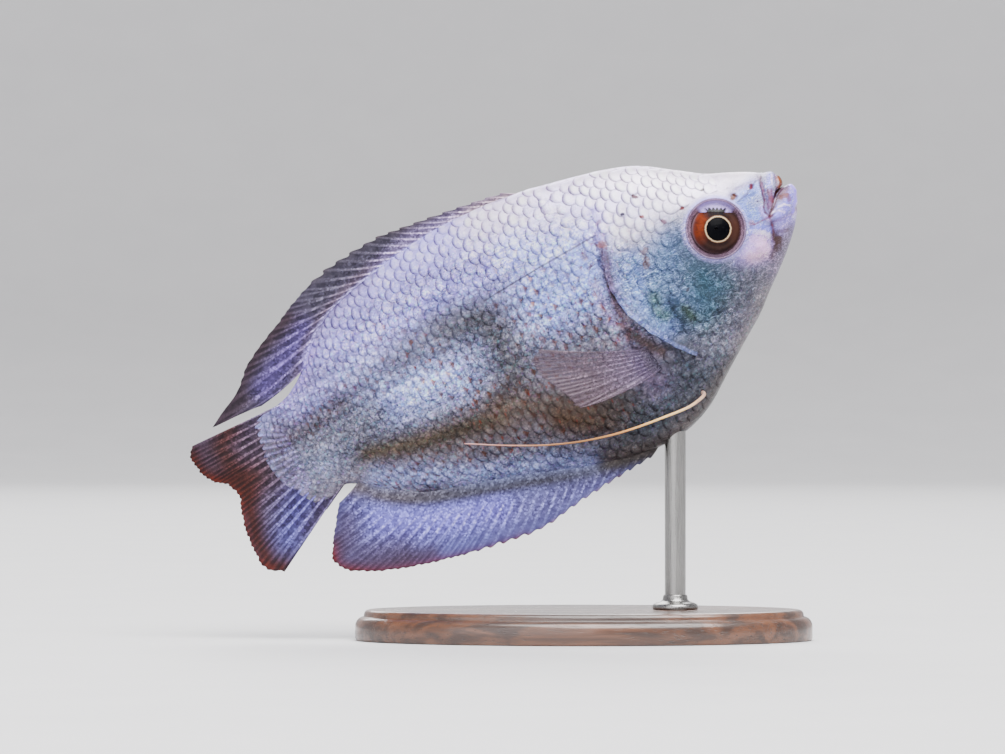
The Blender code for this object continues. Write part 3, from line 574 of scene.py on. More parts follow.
def face_grid(rings, count):
    """Snout and jaws: half rings that open out from the lips to an upright section at the cheeks."""
    share = np.linspace(0, 1, rings) ** 1.25
    v = np.linspace(0, 1, count)
    collar = upright_ring(SNOUT[-1][0], count)
    collar = np.concatenate([collar, flank(collar[:, 0], collar[:, 1])[:, None]], axis=1)
    zero = np.zeros((rings, 1))
    top = np.concatenate([along(SNOUT)(share), zero], axis=1)
    bottom = np.concatenate([along(CHIN)(share), zero], axis=1)
    grid = side_grid(top, bottom, lip_ring(count), collar, share, v)
    rounding = np.sin(math.pi * v) ** 1.5
    out = np.linalg.norm(grid - grid[:1], axis=-1)
    grid[..., 2] += rounding * CHEEK_BULGE * np.sin(math.pi * share[:, None]) ** 2
    grid[..., 2] += rounding * LIP_BULGE * bump(out - LIP_SPREAD, LIP_SPREAD / 1.6)
    return grid


def caudal_line(share):
    """Where the tail fin's rays start and end, by share of its root from top to bottom."""
    edge = np.asarray(CAUDAL_EDGE, float)
    return along(CAUDAL_ROOT)(share), smooth(edge[:, 0], edge[:, 1:])(share)


def body_rings():
    """Half rings (s, h, y) of the plain body from the lips to the scaly base of the tail fin."""
    face = face_grid(FACE_RINGS, HALF_POINTS)
    start = SNOUT[-1][0]
    v = (1 - np.sin(np.linspace(math.pi / 2, -math.pi / 2, HALF_POINTS))) / 2
    root, tip = caudal_line(v)
    root[0, 1], root[-1, 1] = back(root[0, 0]), belly(root[-1, 0])
    stations = np.concatenate([np.linspace(start, 24.0, HEAD_RINGS)[:-1],
                               np.linspace(24.0, root[0, 0], TRUNK_RINGS)])
    u = (stations - start) / (root[0, 0] - start)
    low = start + u * (root[-1, 0] - start)
    top = np.stack([stations, back(stations)], axis=-1)
    bottom = np.stack([low, belly(low)], axis=-1)
    rest = side_grid(top, bottom, upright_ring(start, HALF_POINTS), root, u, v)
    rest = np.concatenate([rest, flank(rest[..., 0], rest[..., 1])[..., None]], axis=-1)
    fade = np.sin(math.pi * np.linspace(0, 1, HALF_POINTS)) ** 0.7
    face[..., 2] += relief(face[..., 0], face[..., 1]) * fade
    rest[..., 2] += (relief(rest[..., 0], rest[..., 1]) + flare(rest[..., 0], rest[..., 1])) * fade
    ahead = unit(tip - root)
    far = np.linspace(0, 1, SHEATH_RINGS + 1)[1:, None]
    thin = SHEATH_THICK * np.sqrt(1 - (2 * v - 1) ** 8)
    sheath = root + ahead * (far * SHEATH_LENGTH)[..., None]
    y = rest[-1, :, 2] + (thin - rest[-1, :, 2]) * ramp(far, -0.2, 1.0)
    sheath = np.concatenate([sheath, y[..., None]], axis=-1)
    rings = np.concatenate([face[:-1], rest, sheath])
    rings[FACE_RINGS:, [0, -1], 2] = 0.0
    return rings


def both_sides(half):
    """Closed rings from half rings: the right side from back to belly, then the left side back up."""
    right = half * np.array([1.0, 1.0, -1.0])
    return np.concatenate([right, half[:, -2:0:-1]], axis=1)


def normals_of(rings):
    """Unit normals of closed rings: the cross product of the slopes along and round, pointing out."""
    ahead = np.gradient(rings, axis=0)
    around = np.roll(rings, -1, axis=1) - np.roll(rings, 1, axis=1)
    normal = np.cross(ahead, around)
    normal /= np.maximum(np.linalg.norm(normal, axis=-1, keepdims=True), 1e-9)
    return normal * np.sign(np.sum(normal[..., 2] * rings[..., 2]))


body_half = body_rings()
body = both_sides(body_half)
body_normal = normals_of(body)

SPREAD = 1.32
DARKEST = 0.008


def pigment(red, green, blue):
    """The coat's own colour for a shade that the strong light of the photograph shows.

    With v the shade in linear light, the coat is half of v + 5 v^5, and then its distance from grey
    grows by SPREAD. Where that passes BRIGHTEST, it is brought down by the root of the excess, so that
    white keeps its tinge.
    """
    light = tint(red, green, blue)
    own = (light + 5 * light**5) / 2
    own = own.mean() + SPREAD * (own - own.mean())
    return np.clip(own * math.sqrt(min(1.0, BRIGHTEST / own.max())), DARKEST, BRIGHTEST)


def coat(colour):
    """The four numbers of a pigment for a colour socket."""
    return (*pigment(*colour), 1.0)


# Colours from belly to back, and soft strokes over them: colour, strength, half width, line
BY_HEIGHT = (
    (-18, (86, 86, 94)), (-14, (92, 92, 104)), (-10, (112, 108, 118)), (-6, (126, 122, 136)),
    (-2, (138, 142, 164)), (2, (142, 146, 172)), (6, (164, 164, 194)), (9, (202, 200, 234)),
    (13, (220, 218, 249)),
)
BODY_STROKES = (
    ((206, 210, 240), 0.7, 3, ((20, 8.5), (27, 7.5), (31, 9))),
    ((164, 162, 192), 0.7, 2.4, ((36, 9.5), (43, 9.8), (50, 9.4))),
    ((172, 180, 212), 0.75, 3, ((25.6, 3.5), (26, 0.5), (30.5, 2.5), (30.5, 0.5))),
    ((124, 124, 136), 0.7, 2.6, ((27, -3.4), (30, -4.4), (33, -3.4))),
    ((104, 104, 116), 0.75, 3, ((48, 3.6), (42, 5), (37.5, 2), (37, -3))),
    ((82, 82, 88), 0.9, 2, ((42.5, 3.8), (38.8, 3.6), (38, -0.5), (38.2, -4))),
    ((146, 150, 174), 0.65, 2.8, ((43.5, -0.5), (50, 1), (56, 5.4))),
    ((176, 182, 208), 0.7, 1.9, ((44.4, -1.1), (47.5, -0.5), (52, -0.4))),
    ((168, 164, 198), 0.7, 2.4, ((50, 9.5), (55, 7.8), (59, 5.4), (62.5, 4.2))),
    ((146, 136, 160), 0.8, 1.9, ((48, 14.4), (53, 12.8), (56.5, 10.8), (59.5, 8))),
    ((190, 182, 216), 0.6, 0.6, ((57, 9.6), (60, 7), (63, 5.8))),
    ((112, 112, 124), 0.8, 2.2, ((54, -0.6), (58, -0.8), (62, 0))),
    # A dark brown band on the lower flank above the anal fin's base: partly brown colour, partly painted
    # shade.
    ((66, 58, 48), 0.97, 2.1, ((57, -4), (52, -5.4), (47, -6.4), (42, -7.4))),
    ((84, 74, 68), 0.92, 2.5, ((41, -6.4), (36, -9.2), (32, -11.4), (28, -13.6))),
    ((76, 58, 42), 0.8, 1.5, ((36, -11), (33.5, -12.6), (30, -14.4))),
    ((150, 156, 184), 0.85, 1.3, ((57.5, -7), (52, -9.4), (46, -12.4), (40, -14.6), (35.5, -16.9))),
    ((60, 64, 72), 0.92, 4.2, ((20, -13), (25, -14), (28, -16))),
    ((96, 88, 84), 0.6, 1.2, ((15, -14), (22, -17.6), (27, -18.6), (33, -17.4))),
    ((120, 108, 132), 0.7, 1.8, ((24.5, -7), (25, -9.5), (24.5, -12))),
    ((82, 78, 84), 0.85, 1.8, ((57, 2.2), (62, 1.9), (66.5, 1.4))),
    ((238, 235, 255), 0.9, 2.8, ((19, 11), (26, 13), (33, 13.6))),
    ((240, 238, 253), 0.97, 3.6, ((4.5, 4.2), (9, 6.6), (14, 8.2), (18.5, 9.3))),
    ((236, 234, 251), 0.92, 2.2, ((8.6, 4.4), (12, 5.2), (16, 5.4), (19, 5))),
    ((230, 228, 250), 0.85, 2.6, ((18, 7), (22, 9.4), (27, 10.8))),
    ((198, 192, 228), 0.6, 1, ((21.8, 8), (22.6, 5.6))),
    ((112, 130, 160), 0.9, 3.2, ((15.5, 0.6), (18, -1.5), (20, -5), (16, -6))),
    ((64, 88, 102), 0.92, 2.6, ((13.8, -3), (14.6, -6), (12, -6.6), (15.5, -8.6))),
    ((150, 166, 200), 0.6, 1.3, ((20.5, 1.5), (21.6, -3), (20.6, -7))),
    ((84, 104, 92), 0.85, 1, ((20.3, -3.6), (20.6, -5.2), (20.1, -6))),
    ((44, 54, 72), 0.95, 0.55, ((18.6, -4.4), (18.8, -6), (18.4, -8.2))),
    ((58, 70, 62), 0.95, 0.75, ((17.7, -6.2), (17.4, -7.6))),
    ((120, 112, 128), 0.75, 0.6, ((22.8, 3.2), (23.9, 0.6), (24.2, -2), (23.6, -5), (22.6, -7.6))),
    # Painted shadow: a dark line on the skin just aft of the gill flap's free edge, where the flap shades
    # the flank.
    ((84, 66, 74), 0.92, 0.6, ((22.9, 3.6), (23.6, 1), (24.4, -2), (24.6, -4.8), (23.9, -7.2),
                               (22.2, -9.4))),
    # Painted shadow under the lower part of the gill flap's free edge.
    ((64, 54, 54), 0.9, 0.7, ((24.1, -6.4), (22.8, -8.6), (21.4, -10))),
    ((172, 160, 188), 0.6, 0.5, ((25.4, 1), (25.7, -1.5), (25.5, -4))),
    ((206, 196, 226), 0.92, 1.5, ((8.4, -4), (6.4, -3), (6.2, -4.6))),
    ((214, 198, 206), 0.75, 0.8, ((8.2, -4.6), (6.6, -5))),
    ((150, 144, 158), 0.85, 1.5, ((4, -5.2), (7, -7.6), (10.5, -9.9), (14, -12))),
    ((128, 122, 118), 0.6, 0.9, ((8.5, -8.8), (11, -10.8), (14, -12.9))),
    ((100, 100, 112), 0.85, 1.8, ((9.6, -6.2), (12, -8.6), (15.5, -10.6), (18.5, -11.4))),
    ((206, 212, 248), 0.9, 1.3, ((4.2, 1.9), (6.2, 1.4), (6.4, 0), (5.4, -0.8))),
    ((166, 150, 186), 0.6, 0.3, ((7.26, 2.57), (6.08, 2.85), (4.76, 2.92), (3.69, 2.99))),
    ((214, 212, 248), 0.95, 0.5, ((1.92, 2.44), (2.66, 1.54), (3.2, 0.28), (3.42, -0.63))),
    ((150, 104, 116), 0.75, 0.3, ((2.7, 0.9), (3.1, 0.1), (3.5, -0.8))),
    ((150, 112, 140), 0.6, 0.3, ((3.2, 2.9), (3.5, 1.44), (3.81, 0.1), (4.15, -1.2))),
    ((116, 80, 108), 0.85, 0.15, ((1.43, 2.3), (1.75, 1.31), (2.44, 0.4), (3.26, -0.32))),
    ((186, 126, 92), 0.85, 0.26, ((1.23, 1.81), (1.19, 1.15), (1.66, 0.75))),
    ((206, 202, 242), 0.9, 0.85, ((0.6, -0.2), (1.4, -1), (2.3, -1.6), (3.25, -2))),
    ((146, 108, 92), 0.75, 0.34, ((0.96, 0.2), (1.58, 0), (2.15, -0.35))),
    ((238, 234, 252), 0.9, 0.2, ((2.76, -0.35), (3.53, -0.98), (4.2, -1.6))),
    ((96, 60, 72), 0.7, 0.2, ((0.7, 0.45), (1.5, 0.35), (2.4, -0.1), (3.2, -0.76), (4.3, -1.55))),
    ((236, 232, 252), 0.85, 0.3, ((0.19, 0.36), (0.17, -0.56), (0.85, -1.74), (1.7, -3))),
    ((116, 44, 56), 0.9, 0.22, ((4.38, -1.66), (4, -1.66))),
    ((222, 214, 246), 0.8, 0.24, ((4.7, -0.24), (4.9, -1.17), (4.55, -1.95))),
    ((128, 96, 120), 0.8, 0.22, ((0.9, -2.2), (2.4, -2.6), (4.1, -2.4))),
    ((190, 182, 216), 0.85, 1, ((2.6, -3.2), (3.6, -3.6))),
    ((76, 48, 44), 0.9, 0.32, ((4.5, -2.6), (4.67, -3.31), (5, -3.9))),
    ((80, 60, 52), 0.92, 0.42, ((4.33, -4.4), (4.8, -4.1), (5.2, -4.9), (6.1, -5.9))),
    ((150, 138, 158), 0.85, 0.8, ((2.78, -3.9), (3.93, -4.9), (5.28, -6.1), (6.63, -7.3))),
    ((222, 210, 236), 0.85, 0.6, ((6.33, -2.94), (6.15, -3.9), (7.57, -3.83))),
    ((200, 170, 186), 0.4, 0.25, ((5.75, -3.4), (6.3, -4.3), (7.2, -4.2))),
    ((206, 206, 246), 0.85, 0.4, ((7.12, -2.2), (5.9, -2.2), (5.1, -2.9))),
    ((176, 130, 150), 0.6, 0.12, ((6.2, -1.27), (6.47, -1), (6.74, -1.27), (6.47, -1.54), (6.2, -1.3))),
    # Painted shade: a grey-blue shadow on the skin behind and under the eye rim.
    ((96, 106, 128), 0.6, 1.1, ((13.9, 1.2), (13.9, -1.4), (12.4, -3.3))),
    ((104, 98, 114), 0.85, 1.8, ((64.6, 3.4), (66.4, 0.4), (65.6, -3.4))),
)
TAIL_BASE_RAYS = tuple(
    ((186, 180, 206), 0.5, 0.1, ((64.4, 0.55 * i - 0.4), (69.5, 1.1 * i - 0.6))) for i in range(-6, 7)
)


def hill_over(line, width, s, h):
    """Which places lie in the line's box, three half widths wider all round, and the hill over it there."""
    low, high = np.min(line, axis=0) - 3 * width, np.max(line, axis=0) + 3 * width
    near = (s > low[0]) & (s < high[0]) & (h > low[1]) & (h < high[1])
    return near, bump(distance_to(line, s[near], h[near]), width)


def painted(points, base, strokes):
    """Base colours with soft strokes over them: each mixes in by strength times a hill over its line."""
    s, h = points[..., 0].ravel(), points[..., 1].ravel()
    colour = base.reshape(-1, 3).copy()
    for shade, strength, width, line in strokes:
        near, hill = hill_over(line, width, s, h)
        colour[near] += (strength * hill)[:, None] * (pigment(*shade) - colour[near])
    return colour


def shaded(table, where):
    """Pigments blended smoothly through a table of (place, colour), at each of some places."""
    stops, shades = zip(*table)
    return smooth(stops, [pigment(*shade) for shade in shades])(where)


def body_colour(points):
    """The fish's colours at side-view points, painted shade included, alike on skin, scales, lids and gill
    flaps.
    """
    return painted(points, shaded(BY_HEIGHT, points[..., 1].ravel()), BODY_STROKES + TAIL_BASE_RAYS)


# How much fine colour lies over each region: pale flecks, rust flecks, cheek wrinkles
FLECKED = (
    (1, 8, ((24, -3), (34, 0), (46, -2), (60, 0))),
    (0.75, 4.5, ((27, 7), (36, 8), (46, 8), (56, 6))),
    (0.8, 4, ((12, -9), (20, -13), (30, -15), (44, -12), (56, -9))),
)
RUSTED = (
    (1, 3.4, ((25, 3), (27, -4), (33, 4), (34, -6), (40, -6), (48, 6))),
    (1, 2.6, ((30, -12), (38, -10.5), (46, -9.6), (56, -8))),
    (0.7, 2.2, ((50, 3), (57, 3), (62, 2))),
)
WRINKLED = (
    (1, 3.4, ((20.5, -0.5), (17, -3), (12.5, -5.6), (16, -8.5), (20, -6.5))),
    (0.9, 2, ((2, 1.5), (5.5, 1), (6.5, -2.5), (5, -5), (9, -7.5))),
    (0.6, 1.6, ((1, -0.5), (2.2, -2.6), (4, -5), (7, -8))),
    (0.8, 2.4, ((13.8, 1.5), (14.5, -3), (11, -5), (14, -7))),
)

WOBBLE = 0.5


def wobbled(s, h):
    """Side-view places moved by sines, aft of the face, so that no stroke is smooth."""
    share = WOBBLE * ramp(s, 11.0, 22.0)
    return (s + 2.0 * share * (np.sin(0.9 * s + 2.3 * h) + np.sin(3.1 * h - 0.7 * s)),
            h + 0.7 * share * (np.sin(1.3 * s - 2.9 * h) + 0.8 * np.sin(3.9 * h + 1.7 * s)))


def body_layers(points):
    """The layers every piece of the body's surface carries: side view, colour and dusting."""
    s, h = wobbled(points[..., 0].ravel(), points[..., 1].ravel())
    amounts = []
    for regions in (FLECKED, RUSTED, WRINKLED):
        found = [strength * bump(distance_to(line, s, h), width) for strength, width, line in regions]
        amounts.append(np.max(found, axis=0))
    return {"side_view": points.reshape(-1, 3), "ground": body_colour(points),
            "dust": np.stack(amounts, axis=-1)}


def chained(colour, strength, width, *points):
    """Marks from each point to the next: colour, strength, half width, start and end in the side view."""
    return tuple((colour, strength, width, start, end) for start, end in zip(points, points[1:]))


# Small marks: colour, strength, half width, start and end, then lines of them through more points
SPOTS = (
    ((124, 78, 42), 0.95, 0.3, (6.68, 2.3), (7.02, 2.16)),
    ((86, 60, 52), 0.8, 0.12, (6.5, 2.5), (7.1, 2.5)),
    ((140, 66, 80), 0.95, 0.23, (4.42, 2.5), (4.56, 2.28)),
    ((84, 60, 90), 0.9, 0.1, (4.68, 0.53), (4.74, 0.53)),
    ((150, 96, 120), 0.6, 0.13, (3.2, 2.2), (3.55, 1.1)),
    ((236, 232, 250), 0.7, 0.12, (1.75, 2.5), (2.3, 1.5)),
    ((120, 84, 84), 0.6, 0.14, (3, 1.2), (3.35, 0.2)),
    ((92, 84, 104), 0.75, 0.13, (22.8, 5.72), (30, 5.5)),
    ((84, 80, 96), 0.8, 0.11, (30, 5.5), (37.3, 5.1)),
    ((74, 40, 44), 0.95, 0.26, (16.6, 7.4), (16.85, 7.6)),
    ((48, 42, 58), 0.95, 0.19, (18.82, 6.4), (18.98, 6.4)),
    ((150, 84, 70), 0.9, 0.2, (17, 5.12), (17.2, 5.2)),
    ((150, 108, 108), 0.8, 0.48, (22.4, 4.4), (22.75, 4.5)),
    ((150, 116, 124), 0.6, 0.22, (21.55, 6.9), (22, 6.75)),
    ((120, 78, 96), 0.8, 0.26, (15.15, 3.4), (15.3, 3.65)),
    ((140, 66, 60), 0.9, 0.22, (12.58, 3.85), (12.73, 3.85)),
    ((104, 100, 84), 0.85, 0.18, (9.5, 4.63), (9.68, 4.63)),
    ((70, 60, 62), 0.8, 0.18, (16.3, -4.5), (16.5, -4.6)),
    ((128, 100, 84), 0.6, 0.4, (19, 0.6), (19.3, 0)),
    ((136, 104, 92), 0.55, 0.4, (18.6, 1.6), (18.9, 1.5)),
)
LIP_LINES = (
    ((96, 52, 72), 0.7, 0.14, (2.93, 2.87), (3.5, 1.99), (3.76, 1.1), (3.94, 0.29), (4.39, -0.37),
     (4.53, -1.01), (4.32, -1.59)),
    ((66, 38, 36), 0.75, 0.14, (1.22, 2.11), (1.01, 1.34), (1.13, 0.93), (1.78, 0.66), (2.53, 0.24),
     (3.15, -0.36), (3.74, -0.97), (4.32, -1.59)),
    ((150, 92, 44), 0.8, 0.2, (1.2, 1.85), (1.18, 1.22), (1.64, 0.84)),
    ((150, 96, 110), 0.5, 0.32, (2.95, 0.98), (3.2, 0.03), (3.78, -0.57)),
    ((96, 62, 66), 0.65, 0.1, (1.22, 0.57), (2.06, 0.24), (2.7, -0.29), (3.33, -0.88), (3.88, -1.25)),
    ((138, 92, 84), 0.65, 0.3, (2.09, -0.3), (1.36, -0.38), (1.32, -0.97)),
    ((240, 236, 250), 0.5, 0.13, (2.91, -1.16), (2.13, -1.16), (1.64, -1.58)),
    ((236, 232, 250), 0.45, 0.12, (3.64, -1.38), (3, -1.52), (2.56, -1.96)),
    ((214, 208, 250), 0.8, 0.2, (0.37, 0.43), (0.24, -0.31), (0.76, -1.37), (1.62, -2.41)),
    ((150, 96, 118), 0.6, 0.12, (4.36, -1.67), (5.22, -1.63), (6.19, -1.62), (6.57, -1.22)),
    ((126, 84, 104), 0.6, 0.15, (4.34, -1.73), (4.47, -2.64), (4.8, -3.65)),
    ((70, 48, 36), 0.6, 0.55, (4.56, -3.78), (4.58, -4.49), (5.08, -5.15)),
    ((100, 72, 56), 0.5, 0.3, (3.91, -3.71), (3.28, -3.89)),
    ((238, 222, 240), 0.35, 0.6, (7.02, -3.09), (6.55, -3.85), (6.25, -4.63)),
    ((238, 236, 250), 0.3, 0.3, (6.54, -2.37), (5.78, -2.87), (5.37, -3.56)),
    ((108, 100, 140), 0.6, 0.13, (6.62, 1.54), (5.31, 1.87), (3.62, 2.72)),
)
BODY_MARKS = tuple(mark for row in LIP_LINES for mark in chained(*row)) + SPOTS

FLECK_HUES = (
    (0, (1, 1, 1, 1)), (0.34, (0.62, 0.8, 1, 1)), (0.54, (0.55, 0.95, 0.92, 1)),
    (0.66, (0.85, 0.68, 1, 1)), (0.8, (0.95, 0.9, 0.9, 1)),
)
CELL_HUES = (
    (0, (0.46, 0.76, 1, 1)), (0.28, (0.4, 0.95, 0.84, 1)), (0.48, (0.8, 0.5, 1, 1)),
    (0.66, (0.3, 0.27, 0.24, 1)), (0.85, (1, 1, 1, 1)),
)
FINE_CELLS = 4.6
COARSE_CELLS = 2.4
SKIN_RELIEF = 0.00005


def mark_effect():
    """Mask of one short stroke: 1 near the line that goes from Start by Reach, ragged at its edge.

    The distance to the nearest point of the line is counted in half widths, and noise is added to it.
    """
    tree, given, out = effect(
        "short stroke",
        [("Place", "Vector", (0, 0, 0)), ("Start", "Vector", (0, 0, 0)), ("Reach", "Vector", (1, 0, 0)),
         ("Half Width", "Float", 0.2)],
        [("Mask", "Float")])

    def vector(operation, first, second, index=0):
        """One of a Vector Math node's outputs."""
        return node(tree, "VectorMath", {"operation": operation}, _0=first, _1=second).outputs[index]

    flat = vector("MULTIPLY", given.outputs["Place"], (1.0, 1.0, 0.0))
    ragged = noisy(tree, flat, 3.0, 2.0)
    away = vector("SUBTRACT", flat, given.outputs["Start"])
    reach = given.outputs["Reach"]
    share = maths(tree, "DIVIDE", vector("DOT_PRODUCT", away, reach, 1),
                  vector("DOT_PRODUCT", reach, reach, 1))
    share = node(tree, "Clamp", Value=share).outputs[0]
    nearest = node(tree, "VectorMath", {"operation": "SCALE"}, _0=reach, Scale=share).outputs[0]
    apart = node(tree, "VectorMath", {"operation": "LENGTH"},
                 _0=vector("SUBTRACT", away, nearest)).outputs[1]
    apart = maths(tree, "DIVIDE", apart, given.outputs["Half Width"])
    apart = maths(tree, "ADD", apart, times(tree, maths(tree, "SUBTRACT", ragged, 0.5), 1.6))
    feed(tree, out, Mask=ranged(tree, apart, 1.3, 0.5))
    return tree


def living_colour_effect():
    """Ground colour with flecks of pale, blue, turquoise, lilac and rust pigment, small marks and wrinkles.

    The flecks are cells of a Voronoi pattern a fifth of a millimetre wide, each of one random colour.
    """
    tree, given, out = effect(
        "living colour",
        [("Place", "Vector", (0, 0, 0)), ("Ground", "Color", (1, 1, 1, 1)), ("Dust", "Vector", (0, 0, 0))],
        [("Color", "Color"), ("Height", "Float"), ("Gloss", "Float")])
    place_of, dust = given.outputs["Place"], node(tree, "SeparateXYZ", Vector=given.outputs["Dust"])
    fine = node(tree, "TexVoronoi", Vector=place_of, Scale=FINE_CELLS)
    grain = node(tree, "SeparateColor", Color=fine.outputs["Color"])
    cells = node(tree, "TexVoronoi", Vector=place_of, Scale=COARSE_CELLS)
    shade = node(tree, "SeparateColor", Color=cells.outputs["Color"])
    ground = given.outputs["Ground"]
    pick = stepped(tree, grain.outputs[1], FLECK_HUES)
    amount = maths(tree, "MULTIPLY_ADD", dust.outputs[0], 0.66, 0.08)
    amount = times(tree, amount, maths(tree, "MULTIPLY_ADD", dust.outputs[2], -0.5, 1.0))
    flecks = ranged(tree, grain.outputs[0], 0.5, 1.0)
    dark = ranged(tree, grain.outputs[0], 0.48, 0.0)
    colour = washed(tree, times(tree, dark, amount), ground, (0.3, 0.3, 0.34))
    bright = stained(tree, stained(tree, ground, (2.9, 2.8, 2.6)), pick)
    colour = blended(tree, times(tree, flecks, amount), colour, bright)
    hue = stepped(tree, shade.outputs[0], CELL_HUES)
    dot = ranged(tree, cells.outputs["Distance"], 0.6, 0.2)
    patch = times(tree, dot, times(tree, amount, ranged(tree, shade.outputs[1], 0.3, 1.0)))
    hued = stained(tree, stained(tree, colour, (1.9, 1.8, 1.7)), hue)
    colour = blended(tree, patch, colour, hued)
    upright = node(tree, "Mapping", Vector=place_of, Rotation=(0, 0, 0.35), Scale=(2.4, 1.1, 1.0))
    rust_cells = node(tree, "TexVoronoi", Vector=upright.outputs[0], Scale=1.0)
    rust_pick = node(tree, "SeparateColor", Color=rust_cells.outputs["Color"])
    rust = times(tree, ranged(tree, rust_cells.outputs["Distance"], 0.4, 0.1),
                 ranged(tree, rust_pick.outputs[0], 0.4, 0.6))
    rust = times(tree, rust, times(tree, dust.outputs[1], 0.8))
    rusty = blended(tree, ranged(tree, rust_pick.outputs[1], 0.45, 0.55), coat((124, 62, 40)),
                    coat((76, 66, 52)))
    colour = blended(tree, rust, colour, rusty)
    drawn = node(tree, "Mapping", Vector=place_of, Scale=(0.16, 1.15, 0.2))
    streak = noisy(tree, drawn.outputs[0], 1.0, 2.0)
    dim = times(tree, ranged(tree, streak, 0.48, 0.6), dust.outputs[0])
    colour = washed(tree, times(tree, dim, 0.75), colour, (0.5, 0.48, 0.52))
    lit = times(tree, ranged(tree, streak, 0.48, 0.36), dust.outputs[0])
    colour = washed(tree, times(tree, lit, 0.7), colour, (1.6, 1.6, 1.6))
    cloud = noisy(tree, place_of, 0.55, 3.0)
    colour = washed(tree, ranged(tree, cloud, 0.4, 0.7, 0.0, 0.5), colour, (0.6, 0.56, 0.62))
    fine_lines = noisy(tree, place_of, 2.3, 2.0, 1.6)
    glint = ranged(tree, maths(tree, "ABSOLUTE", maths(tree, "SUBTRACT", fine_lines, 0.5)), 0.035, 0.0)
    glint = times(tree, glint, ranged(tree, shade.outputs[2], 0.25, 0.7))
    glint = times(tree, glint, times(tree, dust.outputs[0], 0.8))
    glinting = stained(tree, stained(tree, ground, (3.4, 3.4, 3.2)), pick)
    colour = blended(tree, glint, colour, glinting)
    skewed = node(tree, "Mapping", Vector=place_of, Rotation=(0, 0, -0.5), Scale=(1.0, 1.9, 1.0))
    creases = noisy(tree, skewed.outputs[0], 0.95, 2.0, 1.8)
    crest = maths(tree, "ABSOLUTE", maths(tree, "SUBTRACT", creases, 0.5))
    lines = times(tree, ranged(tree, crest, 0.032, 0.0), dust.outputs[2])
    colour = washed(tree, times(tree, lines, 0.95), colour, (3.4, 3.5, 3.6))
    hollow = times(tree, ranged(tree, crest, 0.05, 0.11), dust.outputs[2])
    colour = washed(tree, times(tree, hollow, 0.8), colour, (0.36, 0.46, 0.46))
    stroke = mark_effect()
    for shade_of, strength, width, start, end in BODY_MARKS:
        reach = (end[0] - start[0], end[1] - start[1], 0.0)
        mask = use(tree, stroke, Place=place_of, Start=(*start, 0.0), Reach=reach,
                   Half_Width=width).outputs[0]
        colour = blended(tree, times(tree, mask, strength), colour, coat(shade_of))
    height = maths(tree, "MULTIPLY_ADD", lines, 1.4, times(tree, flecks, 0.25))
    feed(tree, out, Color=colour, Height=height, Gloss=flecks)
    return tree


living_colour = living_colour_effect()


def skin_finish():
    """Moist skin: the fish's colours with fine pitting, and a pearly shine."""
    made, tree, shader = finish_of("moist skin", Coat_Roughness=0.18, Coat_Weight=0.14, Metallic=0.2,
                                   Specular_IOR_Level=0.15)
    place_of = layer(tree, "side_view")
    look = use(tree, living_colour, Place=place_of, Ground=layer(tree, "ground"), Dust=layer(tree, "dust"))
    pits = node(tree, "TexVoronoi", Vector=place_of, Scale=5.5)
    depth = ranged(tree, pits.outputs["Distance"], 0.0, 0.35)
    pitted = stained(tree, look.outputs["Color"], (0.5, 0.44, 0.52))
    colour = blended(tree, maths(tree, "MULTIPLY_ADD", depth, -0.4, 0.4), look.outputs["Color"], pitted)
    feed(tree, shader, Base_Color=colour, Roughness=ranged(tree, look.outputs["Gloss"], 0.0, 1.0, 0.42, 0.3))
    height = maths(tree, "ADD", look.outputs["Height"], times(tree, depth, 0.7))
    raised(tree, shader, height, SKIN_RELIEF)
    return made


def head_folds(points):
    """Height of the face's folds, lips and pits: a hill or valley over each line, and the eye's socket."""
    s, h = points[..., 0], points[..., 1]
    total = -SOCKET_DEPTH * (1 - ramp(np.hypot(s - EYE_AT[0], h - EYE_AT[1]), 2.5, 3.4))
    for height, width, line in FOLDS:
        near, hill = hill_over(line, width, s, h)
        total[near] += height * hill
    return total


def mouth_lining():
    """Rings that lead in from the lips: each point moves towards a slit aft of the gape."""
    lips = body_half[0]
    middle = (lips + lips[::-1]) / 2 + np.array([MOUTH_DEPTH, 0.1, 0.0])
    middle[:, 2] *= 0.7
    middle += (lips - lips[::-1]) * 0.04
    share = np.linspace(1, 0, LINING_RINGS + 1)[:-1, None, None]
    bow = np.sin(share * math.pi) * 0.12 * (lips - lips[::-1])
    return lips + (middle - lips) * share + bow


def body_skin():
    """The whole skin: mouth lining, head, trunk and tail base as closed rings, closed at both ends."""
    depth = COAT * ramp(body[..., 0], 5.5, 9.0)
    points = body + body_normal * (head_folds(body) - depth)[..., None]
    points = np.concatenate([both_sides(mouth_lining()), points])
    rings, around = points.shape[:2]
    world = place(points).reshape(-1, 3)
    faces = outward(world, ring_quads(rings, around))
    half = around // 2
    j = np.arange(1, half - 1)
    tail_end = (rings - 1) * around
    bars = np.stack([j, j + 1, around - j - 1, around - j], axis=-1)
    ends = [[0, 1, around - 1], [half - 1, half, half + 1]]
    faces = faces.tolist() + bars.tolist() + ends
    faces += (bars + tail_end)[:, ::-1].tolist() + [[tail_end + k for k in end[::-1]] for end in ends]
    layers = body_layers(points)
    inside = np.zeros((rings, around), bool)
    inside[:LINING_RINGS] = True
    layers["ground"][inside.ravel()] = pigment(96, 44, 44)
    return piece("body_skin", world, faces, skin_finish(), ["head", "torso", "tail_stalk"], layers)


body_skin()

